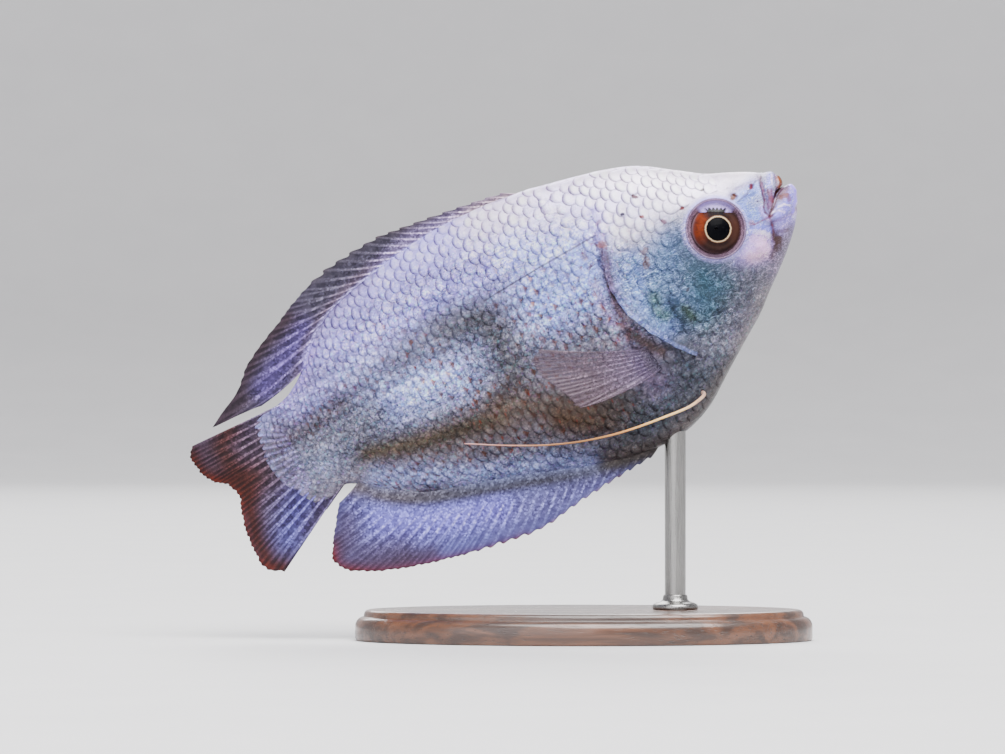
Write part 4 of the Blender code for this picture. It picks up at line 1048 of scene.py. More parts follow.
# Gill flaps: the thin bony cover over each gill chamber, sheathed in skin, its free rear edge standing off.
# Each is one plate that grows out of the cheek under the skin and ends in a pale membrane rim.
FLAP_LINE = ((22.5, 4.2), (23.4, 2.0), (23.75, -1.0), (23.3, -3.8), (22.3, -6.2), (21.1, -8.7),
             (19.9, -10.6), (19.1, -11.7))
FLAP_ALONG = 110
FLAP_ACROSS = 26
FLAP_REACH = 1.9
FLAP_RIM = 0.42
FLAP_LIFT = 0.2
FLAP_THICK = 0.09
SIDES = ((-1.0, "right"), (1.0, "left"))

ring_share = np.linspace(0, 1, TABLE_POINTS)


def even_rings():
    """The body's right half with its points spread evenly by length round each ring, and the lengths."""
    steps = np.linalg.norm(np.diff(body_half, axis=1), axis=-1)
    length = np.concatenate([np.zeros((len(body_half), 1)), np.cumsum(steps, axis=1)], axis=1)
    even = np.stack([
        np.stack([np.interp(ring_share * far[-1], far, ring[:, axis]) for axis in range(3)], axis=-1)
        for ring, far in zip(body_half, length)
    ])
    return even, length[:, -1]


even_body, half_girth = even_rings()
even_normal = normals_of(both_sides(even_body))[:, :TABLE_POINTS] * np.array([1.0, 1.0, -1.0])


def on_body(u, f):
    """Point and normal at ring u and share f of the half girth, from back (0) to belly (1).

    Past the back or the belly, f comes round on the other side, where y is less than nothing.
    """
    g = np.mod(f, 2.0)
    over = g > 1
    g = np.where(over, 2 - g, g) * (TABLE_POINTS - 1)
    u = np.clip(u, 0, len(even_body) - 1.001)
    i, j = np.floor(u).astype(int), np.clip(np.floor(g).astype(int), 0, TABLE_POINTS - 2)
    du, dg = (u - i)[..., None], (g - j)[..., None]
    turn = np.where(over, -1.0, 1.0)[..., None] * np.array([0.0, 0.0, 1.0]) + np.array([1.0, 1.0, 0.0])

    def pick(table):
        """The table's value between the four points about (u, g)."""
        ahead = table[i, j] * (1 - dg) + table[i, j + 1] * dg
        behind = table[i + 1, j] * (1 - dg) + table[i + 1, j + 1] * dg
        return (ahead * (1 - du) + behind * du) * turn

    normal = pick(even_normal)
    return pick(even_body), unit(normal)


def surface(s, h):
    """Side-view points on the body, head flare and relief included, with unit normals."""
    fade = ramp(np.minimum(back(s) - h, h - belly(s)), 0.0, 1.6)
    gap = 0.05

    def out(a, b):
        """How far the body stands out at (a, b)."""
        return flank(a, b) + (relief(a, b) + flare(np.minimum(a, gill_edge_at(b) - 0.02), b)) * fade

    y = out(s, h)
    aft = (out(s + gap, h) - out(s - gap, h)) / (2 * gap)
    up = (out(s, h + gap) - out(s, h - gap)) / (2 * gap)
    return np.stack([s, h, y], axis=-1), unit(np.stack([-aft, -up, np.ones_like(y)], axis=-1))


def plate_faces(rows, columns):
    """Quads of a closed plate whose outer grid is followed by an inner grid of the same shape."""
    outer = ring_quads(rows, columns, closed=False)
    inner = outer[:, ::-1] + rows * columns
    rim = np.concatenate([np.arange(columns), np.arange(1, rows) * columns + columns - 1,
                          (rows - 1) * columns + np.arange(columns - 2, -1, -1),
                          np.arange(rows - 2, 0, -1) * columns])
    after = np.roll(rim, -1)
    edge = np.stack([after, rim, rim + rows * columns, after + rows * columns], axis=-1)
    return np.concatenate([outer, inner, edge])


def gill_flap(side, word):
    """A plate whose rows run along the gill edge and columns from under the cheek skin out to the rim."""
    share = np.linspace(0, 1, FLAP_ALONG)
    line = along(FLAP_LINE)(share)
    ahead = unit(np.gradient(line, axis=0))
    across = np.stack([-ahead[:, 1], ahead[:, 0]], axis=-1)
    across *= np.sign(across[FLAP_ALONG // 2, 0])
    t = np.linspace(0, 1, FLAP_ACROSS) ** 0.8
    ends = np.sin(math.pi * np.clip(share, 0.005, 0.995)) ** 0.5 * (1 - 0.8 * ramp(share, 0.6, 0.95))
    wave = 0.05 * np.sin(share * 31.0) + 0.04 * np.sin(share * 67.0 + 1.0)
    reach = -FLAP_REACH + t[None, :] * (FLAP_REACH + (FLAP_RIM * ends + wave)[:, None])
    at = line[:, None] + across[:, None] * reach[..., None]
    points, normal = surface(at[..., 0], at[..., 1])
    lift = -COAT + (COAT + FLAP_LIFT * ends[:, None]) * ramp(t, 0.15, 0.85)[None, :]
    lift = lift - 0.12 * ramp(t, 0.86, 1.0)[None, :] * ends[:, None]
    thick = FLAP_THICK * (1 - 0.55 * ramp(t, 0.7, 1.0))[None, :]
    outer = points + normal * lift[..., None]
    inner = points + normal * (lift - thick)[..., None]
    both = np.concatenate([outer.reshape(-1, 3), inner.reshape(-1, 3)])
    world = place(both, side)
    faces = outward(world, plate_faces(FLAP_ALONG, FLAP_ACROSS))
    layers = body_layers(both)
    rim = ramp(np.tile(np.broadcast_to(t[None, :], lift.shape).ravel(), 2), 0.72, 0.84)
    low = np.tile(np.repeat(ramp(share, 0.3, 0.55) * (1 - ramp(share, 0.6, 0.85)), FLAP_ACROSS), 2)
    pale = rim * (0.2 + 0.5 * low)
    layers["ground"] += pale[:, None] * (pigment(176, 184, 214) - layers["ground"])
    high = rim * (1 - ramp(np.tile(np.repeat(share, FLAP_ACROSS), 2), 0.25, 0.42))
    layers["ground"] += 0.6 * high[:, None] * (pigment(128, 108, 134) - layers["ground"])
    return piece(f"gill_flap_{word}", world, faces.tolist(), skin_finish(), [f"gill_cover_{word}"],
                 layers)


for side, word in SIDES:
    gill_flap(side, word)

# Eyes: each a flattened ball of clear cornea over an orange-brown iris and a wide black pupil.
# They are glass on a museum figure, set separately in the orbits and leaning with the cheek.
EYE_RADIUS = 2.95
EYE_DEPTH = 1.9
EYE_PROUD = 0.75
CORNEA_RADIUS = 1.5
CORNEA_RISE = 0.25
PUPIL_OFF = (-0.17, -0.15)
EYE_RINGS = 64
EYE_AROUND = 96
IRIS_OUT = 3.0
IRIS_RINGS = (
    (0, (1, 1, 4)), (1.3, (1, 1, 4)), (1.34, (40, 28, 24)), (1.39, (176, 150, 116)), (1.45, (190, 170, 136)),
    (1.52, (104, 72, 54)), (1.62, (26, 17, 16)), (1.85, (36, 24, 22)), (2.1, (50, 34, 30)),
    (2.45, (36, 25, 25)),
    (2.68, (62, 46, 48)), (2.86, (104, 84, 92)), (3, (110, 96, 110)),
)


def eye_seat():
    """The middle of an eye on the cheek, and the cheek's slope there."""
    gap = 0.05
    s, h = EYE_AT
    place_s = np.array([s, s + gap, s - gap, s, s])
    place_h = np.array([h, h, h, h + gap, h - gap])
    y, aft, fore, above, below = flank(place_s, place_h)
    return y, (aft - fore) / (2 * gap), (above - below) / (2 * gap)


def eye_surface(radius, turn):
    """Side-view points on the eyeball's front: a flattened ball, a raised cornea, and the cheek's lean."""
    seat, aft, up = eye_seat()
    ds, dh = radius * np.cos(turn), radius * np.sin(turn)
    share = np.clip(radius / EYE_RADIUS, 0, 1)
    out = EYE_DEPTH * np.sqrt(1 - share**2) + CORNEA_RISE * bump(radius, CORNEA_RADIUS)
    y = seat + EYE_PROUD - EYE_DEPTH + out + aft * ds + up * dh
    return np.stack([EYE_AT[0] + ds, EYE_AT[1] + dh, y], axis=-1)


def iris_finish():
    """Rings of colour by distance from the pupil, broken by radial fibres and by three wedges of shade.

    A wedge fades out from its middle by the cosine of the angle between.
    """
    made, tree, shader = finish_of("iris and cornea", Roughness=0.5, Coat_Weight=0.03, Coat_Roughness=0.05,
                                   Coat_IOR=1.38, Specular_IOR_Level=0.03)
    place_of = layer(tree, "eye_view")
    apart = node(tree, "VectorMath", {"operation": "LENGTH"}, _0=place_of).outputs[1]
    angle = node(tree, "SeparateXYZ", Vector=place_of)
    turn = maths(tree, "ARCTAN2", angle.outputs[1], angle.outputs[0])
    spokes = node(tree, "CombineXYZ", X=maths(tree, "COSINE", turn), Y=maths(tree, "SINE", turn),
                  Z=times(tree, apart, 0.09))
    fibre = noisy(tree, spokes.outputs[0], 13.0, 3.0)
    cloud = noisy(tree, place_of, 1.3, 3.0)
    shift = times(tree, maths(tree, "SUBTRACT", fibre, 0.5), 0.16)
    from_pupil = maths(tree, "DIVIDE", maths(tree, "ADD", apart, shift), IRIS_OUT)
    stops = [(at / IRIS_OUT, paint(colour)) for at, colour in IRIS_RINGS]
    ring = stepped(tree, from_pupil, stops, "LINEAR")
    band = times(tree, ranged(tree, apart, 1.5, 1.75), ranged(tree, apart, IRIS_OUT, 2.6))

    def wedge(middle, start, full):
        """The part of the band about an angle."""
        near = maths(tree, "COSINE", maths(tree, "SUBTRACT", turn, middle))
        return times(tree, ranged(tree, near, start, full), band)

    warm = times(tree, wedge(0.7, 0.35, 1.0), ranged(tree, cloud, 0.35, 0.6, 0.5, 1.0))
    colour = blended(tree, times(tree, warm, 0.85), ring, paint((112, 44, 18)))
    colour = blended(tree, times(tree, wedge(-2.6, 0.55, 1.0), 0.6), colour, paint((64, 38, 30)))
    colour = blended(tree, times(tree, wedge(1.9, 0.72, 0.96), 0.9), colour, paint((8, 7, 14)))
    grain = times(tree, ranged(tree, fibre, 0.5, 0.7), times(tree, band, 0.5))
    colour = blended(tree, grain, colour, paint((48, 26, 20)))
    murk = times(tree, ranged(tree, cloud, 0.5, 0.75), times(tree, band, 0.4))
    colour = blended(tree, murk, colour, paint((62, 42, 40)))
    feed(tree, shader, Base_Color=colour)
    return made


def eyeball(side, word):
    """Rings of the eyeball from the back pole to the front pole, by the sine and cosine of a turn."""
    slope = np.linspace(-math.pi / 2, math.pi / 2, EYE_RINGS)[1:-1, None]
    turn = full_turn(EYE_AROUND)[None]
    radius = EYE_RADIUS * np.cos(slope) + 0 * turn
    front = eye_surface(radius, turn + 0 * slope)
    seat, aft, up = eye_seat()
    rear = front.copy()
    rear[..., 2] = seat + EYE_PROUD - EYE_DEPTH + EYE_DEPTH * np.sin(slope)
    rear[..., 2] += aft * (front[..., 0] - EYE_AT[0])
    rear[..., 2] += up * (front[..., 1] - EYE_AT[1])
    points = np.where(slope[..., None] > 0, front, rear)
    seen = points - np.array([EYE_AT[0] + PUPIL_OFF[0], EYE_AT[1] + PUPIL_OFF[1], 0.0])
    seen[..., 2] = 0.0
    world = place(points, side).reshape(-1, 3)
    rings = len(slope)
    faces = outward(world, ring_quads(rings, EYE_AROUND)).tolist()
    faces += end_caps(rings, EYE_AROUND, -int(side))
    layers = {"eye_view": seen.reshape(-1, 3)}
    return piece(f"eyeball_{word}", world, faces, iris_finish(), [f"eye_{word}"], layers)


for side, word in SIDES:
    eyeball(side, word)

# Eye rims: the soft ring of skin round each eye, folded into a raised orbit and lapping over the iris.
# It is bare of scales, lilac above and pinkish grey inside, with a dark scalloped edge above the pupil.
RIM_OUTER = 4.35
RIM_INNER = 2.74
LID_HEIGHT = 1.86
LID_AT = math.radians(118.0)
RIM_ROWS = 40
RIM_AROUND = 336
TEETH = 17.0
RIM_PROFILE = ((0.0, 0.0), (0.12, 0.02), (0.3, 0.04), (0.42, 0.16), (0.5, 0.26), (0.58, 0.2), (0.7, 0.1),
               (0.86, 0.03), (1.0, 0.0))
RIM_RINGS = (
    (1.7, (84, 86, 110)), (2.7, (78, 56, 64)), (2.86, (112, 88, 98)), (2.98, (164, 142, 158)),
    (3.1, (176, 156, 172)), (3.22, (128, 108, 124)), (3.32, (186, 170, 190)), (3.44, (140, 124, 144)),
    (3.56, (204, 200, 226)), (3.9, (212, 210, 234)),
)


def eye_rim(side, word):
    """A polar sheet: inner edge on the eyeball, outer edge on the cheek, folds by distance between them."""
    turn = full_turn(RIM_AROUND)
    t = np.linspace(0, 1, RIM_ROWS)
    from_lid = np.arctan2(np.sin(turn - LID_AT), np.cos(turn - LID_AT))
    chord = LID_HEIGHT / np.maximum(np.cos(from_lid), 0.2)
    lid = 1 - ramp(chord, RIM_INNER - 0.5, RIM_INNER)
    toothed = 1 - ramp(np.abs(from_lid), 0.44, 0.56)
    scallop = 0.09 * np.abs(np.sin(turn * TEETH)) * toothed
    inner = RIM_INNER - np.logaddexp(0, (RIM_INNER - chord) * 8) / 8 + scallop + 0.02 * np.sin(turn * 5.0)
    radius = inner[None] + (RIM_OUTER - inner[None]) * t[:, None]
    s, h = EYE_AT[0] + radius * np.cos(turn), EYE_AT[1] + radius * np.sin(turn)
    cheek, normal = surface(s, h)
    cheek = cheek - normal * COAT
    ball = eye_surface(np.minimum(radius, EYE_RADIUS - 0.02), turn[None] + 0 * radius)
    ball[..., :2] = cheek[..., :2]
    onto = ramp(radius, 2.6, 3.35)[..., None]
    fold = station(RIM_PROFILE)(np.clip((radius - 2.45) / (RIM_OUTER - 2.45), 0, 1))
    wrinkle = 0.018 * np.sin(radius * 24.0 + 0.6 * np.sin(turn * 3.0))
    wrinkle = wrinkle * ramp(radius, 2.5, 2.9) * (1 - ramp(radius, 3.9, 4.2))
    lift = fold + wrinkle + 0.05 * (1 - onto[..., 0])
    points = ball * (1 - onto) + cheek * onto + normal * lift[..., None]
    tucked = points[:1] - normal[:1] * 0.14
    sunk = points[-1:] - normal[-1:] * 0.3
    under = points[:1] * 0.2 + points[-1:] * 0.8 - normal[-1:] * 0.9
    points = np.concatenate([tucked, points, sunk, under])
    world = place(points, side).reshape(-1, 3)
    rows = len(points)
    quads = ring_quads(rows, RIM_AROUND)
    j, last = np.arange(RIM_AROUND), (rows - 1) * RIM_AROUND
    after = (j + 1) % RIM_AROUND
    closing = np.stack([last + j, last + after, after, j], axis=-1)
    faces = outward(world, np.concatenate([quads, closing])).tolist()
    layers = body_layers(points)
    from_eye = np.hypot(points[..., 0] - EYE_AT[0], points[..., 1] - EYE_AT[1]).ravel()
    rings = shaded(RIM_RINGS, from_eye)
    lower = ramp(-np.cos(np.tile(from_lid, rows)), 0.0, 0.9)
    rings *= (1 - 0.45 * lower)[:, None]
    own = (1 - ramp(from_eye, 3.45, 4.15))[:, None]
    layers["ground"] = layers["ground"] * (1 - own) + rings * own
    tooth = np.tile(0.22 + 0.26 * np.abs(np.sin(turn * TEETH)) ** 0.5, rows)
    near_edge = 1 - ramp(from_eye - np.tile(inner, rows), tooth - 0.05, tooth + 0.05)
    near_edge = near_edge * np.tile(toothed, rows)
    layers["ground"] += near_edge[:, None] * (pigment(8, 9, 24) - layers["ground"])
    lilac = np.tile(lid, rows) * ramp(from_eye, 1.8, 2.0) * (1 - ramp(from_eye, 3.1, 3.3)) * (1 - near_edge)
    layers["ground"] += 0.9 * lilac[:, None] * (pigment(190, 182, 206) - layers["ground"])
    return piece(f"eye_rim_{word}", world, faces, skin_finish(), (), layers)


for side, word in SIDES:
    eye_rim(side, word)

# Scales: thin clear plates of bone and skin, each rooted in the skin and lapping over those behind it.
# They stand in alternating upright columns, largest on the flank, and leave snout, chin and eye rims bare.
ROW_SPACING = ((6.0, 1.3), (10.0, 1.5), (18.0, 1.7), (24.0, 1.75), (46.0, 1.7), (56.0, 1.45), (62.0, 1.15),
               (67.5, 0.95))
COLUMN_SHARE = 0.55
MIDLINE = ((5.0, 2.0), (14.0, 1.5), (24.0, 0.8), (64.0, 0.3), (68.0, 0.2))
SCALE_LENGTH = 1.4
SCALE_HALF = 0.62
SCALE_TILT = 0.023
SCALE_CROWN = 0.008
SCALE_THICK = 0.024
SCALE_ACROSS = 7
SCALE_ALONG = 6
SCALES_FROM = 6.2
SCALES_TO = 66.8
SCALE_ROWS = 16
LENGTH_SPREAD = (0.94, 1.06)
TILT_SPREAD = (0.85, 1.2)
TWIST_SPREAD = 0.05
THINNED_FROM = 63.8
THINNED_SHARE = 0.85
SCALE_RELIEF = 0.000025
RIB_TURN = 26.0
CIRCLE_TURN = 58.0
FLATTER = ((8.0, -8.0), (20.0, -12.0), (27.0, -6.0), (40.0, -3.0), (56.0, -2.0))
FLATTER_WIDTH = 9.0
PATCH = 0.003
row_spacing = station(ROW_SPACING)
midline = station(MIDLINE)


def bare(s, h):
    """Where no scale is rooted: eye rims, snout, jaws, chin and the free edge of each gill flap."""
    ahead = gill_edge_at(h) - s
    eye = np.hypot(s - EYE_AT[0], h - EYE_AT[1]) < 4.2
    snout = (s < 9.3) & (h < 3.9) & (h > -5.8)
    jaws = (h < -5.2 - 0.93 * (s - 6.5)) & (s < 12.5)
    edge = (ahead < 1.5) & (ahead > -0.2) & (h < 4.2) & (h > -12.0)
    return eye | snout | jaws | edge | (s < SCALES_FROM)


def scale_roots():
    """Ring place, row number and half-row shift of each scale on one side of the body."""
    middle_s = np.array([np.interp(midline(ring[:, 0].mean()), ring[::-1, 1], ring[::-1, 0])
                         for ring in even_body])
    middle_s = np.maximum.accumulate(middle_s + np.arange(len(middle_s)) * 1e-6)
    columns = [SCALES_FROM]
    while columns[-1] < SCALES_TO:
        columns.append(columns[-1] + COLUMN_SHARE * float(row_spacing(columns[-1])))
    columns = np.array(columns)
    ring = np.interp(columns, middle_s, np.arange(len(middle_s)))
    row = np.arange(-SCALE_ROWS, SCALE_ROWS + 1)[None] + 0.5 * (np.arange(len(columns)) % 2)[:, None]
    return np.broadcast_to(ring[:, None], row.shape), row


def middle_share():
    """For each ring, the share of its half girth at which it crosses the midline."""
    high = midline(even_body[:, TABLE_POINTS // 2, 0])
    return np.array([np.interp(-at, -ring[:, 1], ring_share) for at, ring in zip(high, even_body)])


def scales(side, word, seed):
    """Plates laid on the body, each with a round free edge: b goes aft, a goes across, both by share.

    A plate's top is lifted along the body's normal by its tilt times the way aft, and by a low crown.
    """
    draw = np.random.default_rng(seed)
    ring, row = scale_roots()
    rings = np.arange(len(half_girth))
    middle = middle_share()

    def share_at(u, rows_off):
        """Share of the half girth, rows_off rows below the midline at ring u."""
        s_here = np.interp(u, rings, even_body[:, TABLE_POINTS // 2, 0])
        return np.interp(u, rings, middle) + rows_off * row_spacing(s_here) / np.interp(u, rings, half_girth)

    share = share_at(ring, row)
    ring_s = even_body[np.round(ring).astype(int), TABLE_POINTS // 2, 0]
    edge_room = 0.4 * row_spacing(ring_s) / np.interp(ring, rings, half_girth)
    point, _ = on_body(ring, np.clip(share, 0, 1))
    keep = (share > edge_room * 0.75) & (share < 1 - edge_room * 0.75) & ~bare(point[..., 0], point[..., 1])
    ring, row, share = ring[keep], row[keep], share[keep]
    point = point[keep]
    stays = draw.random(len(ring)) > ramp(point[:, 0], THINNED_FROM, SCALES_TO) * THINNED_SHARE
    ring, row, share, point = ring[stays], row[stays], share[stays], point[stays]
    spacing = row_spacing(point[:, 0])
    count = len(ring)
    gap, _ = on_body(ring + 0.5, share)
    before, _ = on_body(ring - 0.5, share)
    per_mm = 1 / np.maximum(np.linalg.norm(gap - before, axis=-1), 0.05)
    a = np.linspace(-1, 1, SCALE_ACROSS)[None, :, None]
    b = np.linspace(0, 1, SCALE_ALONG)[None, None, :] ** 0.85
    length = (SCALE_LENGTH * spacing * draw.uniform(*LENGTH_SPREAD, count))[:, None, None]
    flank_share = bump(distance_to(FLATTER, point[:, 0], point[:, 1]), FLATTER_WIDTH)
    tilt = (SCALE_TILT * (1.0 - 0.4 * flank_share) * draw.uniform(*TILT_SPREAD, count))[:, None, None]
    twist = draw.normal(0, TWIST_SPREAD, count)[:, None, None]
    aft = length * b * (0.58 + 0.42 * np.sqrt(1 - 0.97 * a**2) + twist * a)
    u = ring[:, None, None] + aft * per_mm[:, None, None]
    f = share_at(u, row[:, None, None] + SCALE_HALF * a * (0.86 + 0.14 * b))
    at, normal = on_body(u, f)
    lift = -COAT + 0.01 + tilt * aft + SCALE_CROWN * (1 - a**2) - 0.02 * ramp(b, 0.88, 1.0)
    top = at + normal * lift[..., None]
    low = at + normal * (lift - SCALE_THICK)[..., None]
    grid = np.arange(SCALE_ACROSS * SCALE_ALONG).reshape(SCALE_ACROSS, SCALE_ALONG)
    rim = np.concatenate([grid[:-1, 0], grid[-1, :-1], grid[:0:-1, -1], grid[0, :0:-1]])
    low = low.reshape(count, -1, 3)[:, rim]
    points = np.concatenate([top.reshape(count, -1, 3), low], axis=1)
    per = points.shape[1]
    offset = (np.arange(count) * per)[:, None, None]
    lid = np.stack([grid[:-1, :-1], grid[1:, :-1], grid[1:, 1:], grid[:-1, 1:]], axis=-1).reshape(-1, 4)
    under = grid.size + np.arange(len(rim))
    skirt = np.stack([np.roll(rim, -1), rim, under, np.roll(under, -1)], axis=-1)
    quads = (np.concatenate([lid, skirt])[None] + offset).reshape(-1, 4)
    floor_of = under[None] + offset[:, 0]
    world = place(points, side).reshape(-1, 3)
    corner = world[quads[: len(lid)]]
    facing = np.cross(corner[:, 1] - corner[:, 0], corner[:, 2] - corner[:, 0]).sum(0)
    if facing[1] * side < 0:
        quads = quads[:, ::-1]
        floor_of = floor_of[:, ::-1]
    own = draw.random(count)[:, None, None]
    plate = np.stack(np.broadcast_arrays(a, b, own), axis=-1).reshape(count, -1, 3)
    plate = np.concatenate([plate, plate[:, rim]], axis=1).reshape(-1, 3)
    layers = body_layers(points)
    layers["plate"] = plate
    faces = quads.tolist() + floor_of[:, ::-1].tolist()
    made = piece(f"scales_{word}", world, faces, scale_finish(), (), layers)
    root = np.stack([ring / len(half_girth), share], axis=-1)
    corner_of = plate.reshape(count, per, 3)[..., :2] * np.array([0.5, 1.0]) * PATCH
    patch = root[:, None] * 0.98 + 0.01 + corner_of
    corners = np.zeros(len(made.data.loops), np.int32)
    made.data.loops.foreach_get("vertex_index", corners)
    unwrap = made.data.uv_layers.new(name="OFBake")
    unwrap.data.foreach_set("uv", patch.reshape(-1, 2)[corners].astype(np.float32).ravel())
    return made


def scale_edge_effect():
    """One scale's own shading: a dark thin outline at the free edge, ribs that fan aft, a pale body, and a
    front band of rust and painted shade.
    """
    tree, given, out = effect(
        "scale edge",
        [("Plate", "Vector", (0, 0, 0)), ("Place", "Vector", (0, 0, 0))],
        [("Outline", "Float"), ("Pale", "Float"), ("Front", "Float"), ("Height", "Float"),
         ("Random", "Float")])
    part = node(tree, "SeparateXYZ", Vector=given.outputs["Plate"])
    across, aft = maths(tree, "ABSOLUTE", part.outputs[0]), part.outputs[1]
    rough = noisy(tree, given.outputs["Place"], 4.0, 2.0)
    shift = times(tree, maths(tree, "SUBTRACT", rough, 0.5), 0.12)
    rim = ranged(tree, maths(tree, "ADD", aft, shift), 0.92, 0.985)
    sides = ranged(tree, maths(tree, "ADD", across, shift), 0.88, 0.99)
    outline = maths(tree, "MAXIMUM", rim, times(tree, sides, ranged(tree, aft, 0.3, 0.6)))
    ribs = maths(tree, "SINE", times(tree, part.outputs[0], RIB_TURN))
    circle = maths(tree, "SINE", times(tree, aft, CIRCLE_TURN))
    height = maths(tree, "MULTIPLY_ADD", ribs, 0.2, times(tree, circle, 0.14))
    feed(tree, out, Outline=outline)
    pale = times(tree, ranged(tree, aft, 0.4, 0.7), ranged(tree, aft, 0.92, 0.8))
    feed(tree, out, Pale=times(tree, pale, ranged(tree, across, 0.8, 0.3)),
         Height=maths(tree, "MULTIPLY_ADD", outline, -0.35, height), Random=part.outputs[2])
    # Front band: rust marks and painted shade just behind the free edge of the scale ahead.
    shade = times(tree, ranged(tree, aft, 0.3, 0.42), ranged(tree, aft, 0.66, 0.5))
    shade = times(tree, shade, ranged(tree, maths(tree, "ADD", across, shift), 0.75, 0.3))
    feed(tree, out, Front=shade)
    return tree


scale_edge = scale_edge_effect()


def scale_finish():
    """Pearly scales: the fish's colours, a grey-violet outline, and a shade of their own on each."""
    made, tree, shader = finish_of("pearly scales", Coat_Roughness=0.16, Coat_Weight=0.1, Metallic=0.3,
                                   Specular_IOR_Level=0.12)
    place_of = layer(tree, "side_view")
    look = use(tree, living_colour, Place=place_of, Ground=layer(tree, "ground"), Dust=layer(tree, "dust"))
    edge = use(tree, scale_edge, Plate=layer(tree, "plate"), Place=place_of)
    dust = node(tree, "SeparateXYZ", Vector=layer(tree, "dust"))
    pick = edge.outputs["Random"]
    colour = look.outputs["Color"]
    lighter = times(tree, edge.outputs["Pale"], maths(tree, "MULTIPLY_ADD", pick, 0.7, 0.1))
    colour = washed(tree, lighter, colour, (1.9, 1.9, 1.85))
    # Rust on each scale's front band, with a little painted shade there even where there is no rust.
    front = times(tree, edge.outputs["Front"], maths(tree, "MULTIPLY_ADD", dust.outputs[1], 0.95, 0.12))
    front = times(tree, front, ranged(tree, pick, 0.1, 0.9, 0.4, 1.0))
    colour = washed(tree, front, colour, (0.72, 0.34, 0.22))
    high = ranged(tree, node(tree, "SeparateXYZ", Vector=place_of).outputs[1], 3.0, 10.0, 0.15, 0.9)
    outline = times(tree, edge.outputs["Outline"], high)
    colour = washed(tree, outline, colour, (0.4, 0.29, 0.44))
    own = times(tree, ranged(tree, pick, 0.3, 1.0), 0.4)
    colour = washed(tree, own, colour, (0.56, 0.56, 0.62))
    shine = maths(tree, "MULTIPLY_ADD", edge.outputs["Outline"], 0.16, 0.3)
    feed(tree, shader, Base_Color=colour, Roughness=shine)
    height = maths(tree, "ADD", edge.outputs["Height"], look.outputs["Height"])
    raised(tree, shader, height, SCALE_RELIEF)
    return made


for side, word, seed in ((-1.0, "right", 11), (1.0, "left", 12)):
    scales(side, word, seed)

# Dorsal, anal and tail fins: membranes thinner than card, stretched between bony rays that swell both faces.
# The front rays are spines with free tips, the rear ones are jointed and fork towards the edge.
DORSAL_ROOT = (28.5, 59.6)
DORSAL_RAYS = 24
DORSAL_EDGE = (
    (0, 29.8, 15.1), (0.12, 34.5, 15.9), (0.31, 42, 17), (0.4, 45, 17.35), (0.56, 51.5, 16.85),
    (0.66, 55.5, 15.6), (0.76, 59.5, 13.8), (0.85, 64.4, 11.45), (0.913, 66.9, 9.3), (0.957, 71.3, 6.95),
    (0.975, 68, 6.8), (1, 65.3, 6.5),
)
ANAL_ROOT = (27.9, 60.0)
ANAL_RAYS = 31
ANAL_EDGE = (
    (0, 28.9, -19.5), (0.1, 33, -19.75), (0.22, 38.5, -20.2), (0.33, 43.6, -20.85), (0.44, 48.5, -20.2),
    (0.55, 53.5, -19.1), (0.66, 59, -17.6), (0.74, 63, -16), (0.8, 65.6, -14.3), (0.84, 66.3, -12.9),
    (0.9, 65.4, -11.1), (0.96, 63.8, -8.9), (1, 62.6, -7.4),
)
ANAL_FLARE = 0.8
CAUDAL_RAYS = 17
CAUDAL_CUP = 1.3
FIN_SINK = 0.8
PER_RAY = 9
FIN_ROWS = 46
FIN_RELIEF = 0.00003
JOINT_TURN = 15.0
DORSAL_STROKES = (
    ((206, 204, 228), 0.85, 1.2, ((30, 14.6), (36, 15.4), (41, 15.6))),
    ((128, 124, 136), 0.8, 0.8, ((33, 16), (39, 16.8), (46, 17.5), (53, 16.8))),
    ((126, 128, 160), 0.75, 1.6, ((44, 16.2), (49, 16), (54, 14.4))),
    ((158, 150, 204), 0.85, 1.6, ((57, 11.6), (61, 9.6), (64, 8.2))),
    ((100, 84, 104), 0.85, 1.1, ((58, 14), (63, 12), (67, 9.2), (70.5, 7.2))),
    ((104, 92, 118), 0.85, 1.2, ((67, 8.2), (71, 6.9))),
    ((140, 92, 46), 0.85, 0.34, ((37, 17), (42, 17.5), (47, 17.8), (53, 17.1), (58, 15.2), (63, 12.8))),
)
ANAL_STROKES = (
    ((164, 166, 200), 0.7, 2.4, ((33, -18.4), (40, -18.4), (47, -17))),
    ((196, 196, 236), 0.9, 1.9, ((47, -16.2), (52, -14.6), (56, -13.2), (59, -11.6))),
    ((116, 108, 144), 0.8, 2.2, ((59, -15.6), (63.5, -12.5), (63, -9.6))),
    ((96, 78, 98), 0.75, 1.2, ((56, -17.4), (61.5, -15.8), (65.2, -13.4), (64.8, -11))),
    ((128, 52, 22), 0.98, 0.8, ((46, -21), (49, -20.6), (55, -19.1), (60, -17.6), (64, -15.7),
                                (66.3, -13.4), (65.9, -11.4))),
    ((176, 122, 80), 0.8, 0.32, ((33, -19.9), (38, -20.4), (44, -21), (50, -20.2))),
    # Painted shade: a dark line on the fin at its root, where it meets the belly.
    ((72, 72, 84), 0.8, 0.55, ((32, -18.2), (38, -16.9), (46, -14.3), (54, -11.6), (58.5, -8.6))),
)
